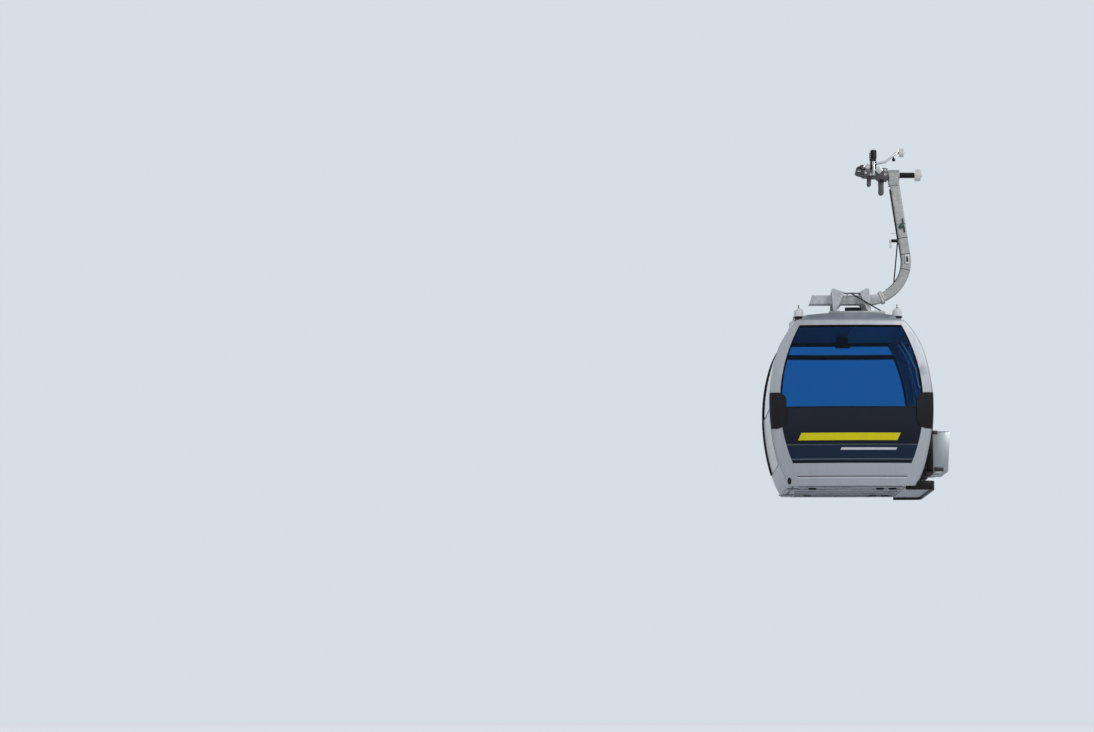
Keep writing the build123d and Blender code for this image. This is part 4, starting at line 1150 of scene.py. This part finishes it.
stop = turned(((0.012, 0.0), (0.012, 0.012), (0.019, 0.016), (0.019, 0.040), (0.015, 0.046)), 24)
stop.data.transform(facing((0.412, 0, 0.166), (0.15, 0, -1)))
fit(stop, "lever_stop", "lever", "black_rubber", smooth=40)
nipple = turned(((0.006, 0), (0.006, 0.008), (0.0035, 0.010), (0.0035, 0.014), (0.0045, 0.018),
                 (0.002, 0.021)), 12)
ears = [facing((0.098, side * 0.058, 0.066), (0, side * 0.3, 1)) for side in (-1, 1)]
fit(put(nipple, ears), "grease_nipples", "grip", "bright_steel", smooth=30)
print("nipples", len(ears))

# %% [markdown]
# Each ski rack is carried on a bracket, and stands on a foot with a knee below. A dark board
# behind it stands partly for the door leaf's dark edge and partly for painted shade in the gap
# between the door and the rack, and a white strip under the foot is a painted highlight. The
# pieces are drawn for the front leaf and mirrored for the rear one, and each rides on its door,
# so that they slide with it.

# %% Rack fittings
RACK_LOW, RACK_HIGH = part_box("front_ski_rack")
RACK_BACK = 0.785                # the rack's wall that faces the door
FRONT_Y = RACK_LOW.y
DIVIDERS, DIVIDER_PITCH = 5, 0.074


def for_both_doors(piece, name, slot_name, rounding):
    """Fit a piece on the front door and its mirror image on the rear door."""
    twin = mirror_twin(piece)
    fit(piece, "front_" + name, "front_door", slot_name, rounding)
    fit(twin, "rear_" + name, "rear_door", slot_name, rounding)


def slant_block(piece, test, move_x):
    """Slant a block by moving the corners that pass a test."""
    for vertex in piece.data.vertices:
        if test(vertex.co):
            vertex.co.x += move_x


# partly the leaf's dark edge, partly painted shade: a dark board in the gap behind the rack
shade_board = cuboid((RACK_BACK - 0.050, FRONT_Y - 0.002, RACK_LOW.z + 0.02),
               (RACK_BACK - 0.001, -0.066, RACK_HIGH.z - 0.02))
slant_block(shade_board, lambda corner: corner.z < -3.4 and corner.x < RACK_BACK - 0.02, -0.022)
for_both_doors(shade_board, "rack_shade_board", "black_rubber", 0.004)
bracket = cuboid((RACK_BACK - 0.030, FRONT_Y - 0.007, -3.172),
                 (RACK_BACK + 0.058, FRONT_Y + 0.030, -3.126))
for_both_doors(bracket, "rack_bracket", "jaw_steel", 0.006)
foot = cuboid((RACK_BACK + 0.008, FRONT_Y - 0.004, -3.602),
              (RACK_BACK + 0.122, FRONT_Y + 0.080, -3.552))
for_both_doors(foot, "rack_foot", "jaw_steel", 0.006)
knee = cuboid((0.692, FRONT_Y + 0.04, -3.652), (RACK_BACK + 0.028, -0.14, -3.590))
slant_block(knee, lambda corner: corner.z < -3.62 and corner.x > 0.75, -0.050)
for_both_doors(knee, "rack_knee", "jaw_steel", 0.005)
# painted highlight: a thin white strip under the rack's foot
lip_highlight = cuboid((RACK_BACK + 0.018, FRONT_Y - 0.004, -3.613),
             (RACK_BACK + 0.090, FRONT_Y + 0.070, -3.603))
for_both_doors(lip_highlight, "rack_highlight_strip", "roller_white", 0.002)
divider = cuboid((RACK_BACK + 0.012, -0.3725, RACK_HIGH.z - 0.012),
                 (RACK_HIGH.x - 0.012, -0.3665, RACK_HIGH.z + 0.004))
dividers = put(divider, [shift(y=DIVIDER_PITCH * step) for step in range(DIVIDERS)])
for_both_doors(dividers, "rack_dividers", "black_rubber", 0.002)
print("rack back at", RACK_BACK, "dividers", DIVIDERS)

# %% [markdown]
# Below the floor hang round rubber feet on which the cabin is set down in its garage, and cross
# members stiffen the pan. The step has a ribbed mat, so that boots don't slip on it. An oval plug
# sits in each lower frame: a ray finds the frame's curved skin, and the plug stands square on it.

# %% Underside and step
PAN_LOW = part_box("underframe")[0].z
foot = turned(profile(PAN_LOW, (0.030, 0.004), (0.047, 0.0), (0.047, -0.014), (0.040, -0.022)))
feet = [shift(x, y, 0) for x in (-0.62, 0.157, 0.302) for y in (-0.5, 0.5)]
fit(put(foot, feet), "landing_feet", "cabin", "black_rubber", smooth=40)
member = cuboid((-0.80, -0.022, PAN_LOW - 0.012), (0.40, 0.022, PAN_LOW + 0.002))
members = [shift(y=y) for y in (-0.72, -0.36, 0.0, 0.36, 0.72)]
fit(put(member, members), "cross_members", "cabin", "floor_plate", 0.003)

STEP_LOW, STEP_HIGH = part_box("step")
FIRST_RIB, RIB_PITCH = 0.585, 0.024
rib = cuboid((0.0, STEP_LOW.y + 0.06, STEP_HIGH.z - 0.001),
             (0.010, STEP_HIGH.y - 0.06, STEP_HIGH.z + 0.004))
ribs = [shift(x=FIRST_RIB + RIB_PITCH * index) for index in range(6)]
fit(put(rib, ribs), "step_mat", "cabin", "black_rubber", 0.002)

PLUG_Z, PLUG_OVAL = -3.749, 1.8
plug = turned(((0.022, -0.004), (0.022, 0.003), (0.016, 0.006)), 24)
plug.data.transform(Matrix.Scale(PLUG_OVAL, 4, (0, 1, 0)))
plug_spots = []
for name, x, side in (("front_lower_frame", -0.905, -1), ("rear_lower_frame", 0.525, 1)):
    skin = bpy.data.objects[name + "_shell"]
    hit, spot, normal, _ = skin.ray_cast((x, side * 2.0, PLUG_Z), (0, -side, 0))
    plug_spots.append(facing(spot, normal))
    print("plug", hit, [round(v, 3) for v in spot])
fit(put(plug, plug_spots), "drain_plugs", "cabin", "black_rubber", smooth=40)
print("feet", len(feet), "members", len(members), "mat ribs", len(ribs))

# %% [markdown]
# Inside, a dark lining covers the header over each end window, and the benches and backrests
# have the moulded ribs that keep a seated passenger from sliding. The unit in the ceiling has a
# rounded housing below it, which shows through the front window.

# %% Inside
RIB_STEP = 0.085
HEADER_LEFT, HEADER_RIGHT = -0.775, 0.395
for end, side, drop in (("rear", 1, 0.036), ("front", -1, 0.012)):
    lining_y = sorted((side * 0.800, side * 0.812))
    lining = cuboid((HEADER_LEFT, lining_y[0], WINDOW_TOP - drop),
                    (HEADER_RIGHT, lining_y[1], WINDOW_TOP + 0.006))
    fit(lining, f"{end}_header_lining", "cabin", "dark_lining", 0.002)

for end, side, _ in SIDES:
    seat_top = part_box(f"{end}_seat")[1].z
    seat_y = sorted((side * 0.50, side * 0.80))
    rib = cuboid((-0.006, seat_y[0], seat_top - 0.003), (0.006, seat_y[1], seat_top + 0.004))
    spots = [shift(x=CABIN_X + RIB_STEP * index) for index in range(-7, 8)]
    fit(put(rib, spots), f"{end}_seat_ribs", "cabin", "seat_shell", 0.0025)

    back_low, back_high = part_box(f"{end}_backrest")
    inner = back_high.y if side < 0 else back_low.y
    rib_y = sorted((inner - side * 0.004, inner + side * 0.003))
    rib = cuboid((-0.006, rib_y[0], back_low.z + 0.05), (0.006, rib_y[1], back_high.z - 0.06))
    fit(put(rib, spots[1:-1]), f"{end}_back_ribs", "cabin", "seat_shell", 0.0015)

unit_low, unit_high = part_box("ceiling_unit")
housing = cuboid((unit_low.x - 0.01, unit_low.y + 0.01, unit_low.z - 0.045),
                 (unit_high.x + 0.03, unit_high.y - 0.01, unit_low.z + 0.002))
fit(housing, "ceiling_unit_housing", "cabin", "dark_lining", 0.012)
print("seat ribs", 2 * len(spots), "back ribs", 2 * len(spots[1:-1]))
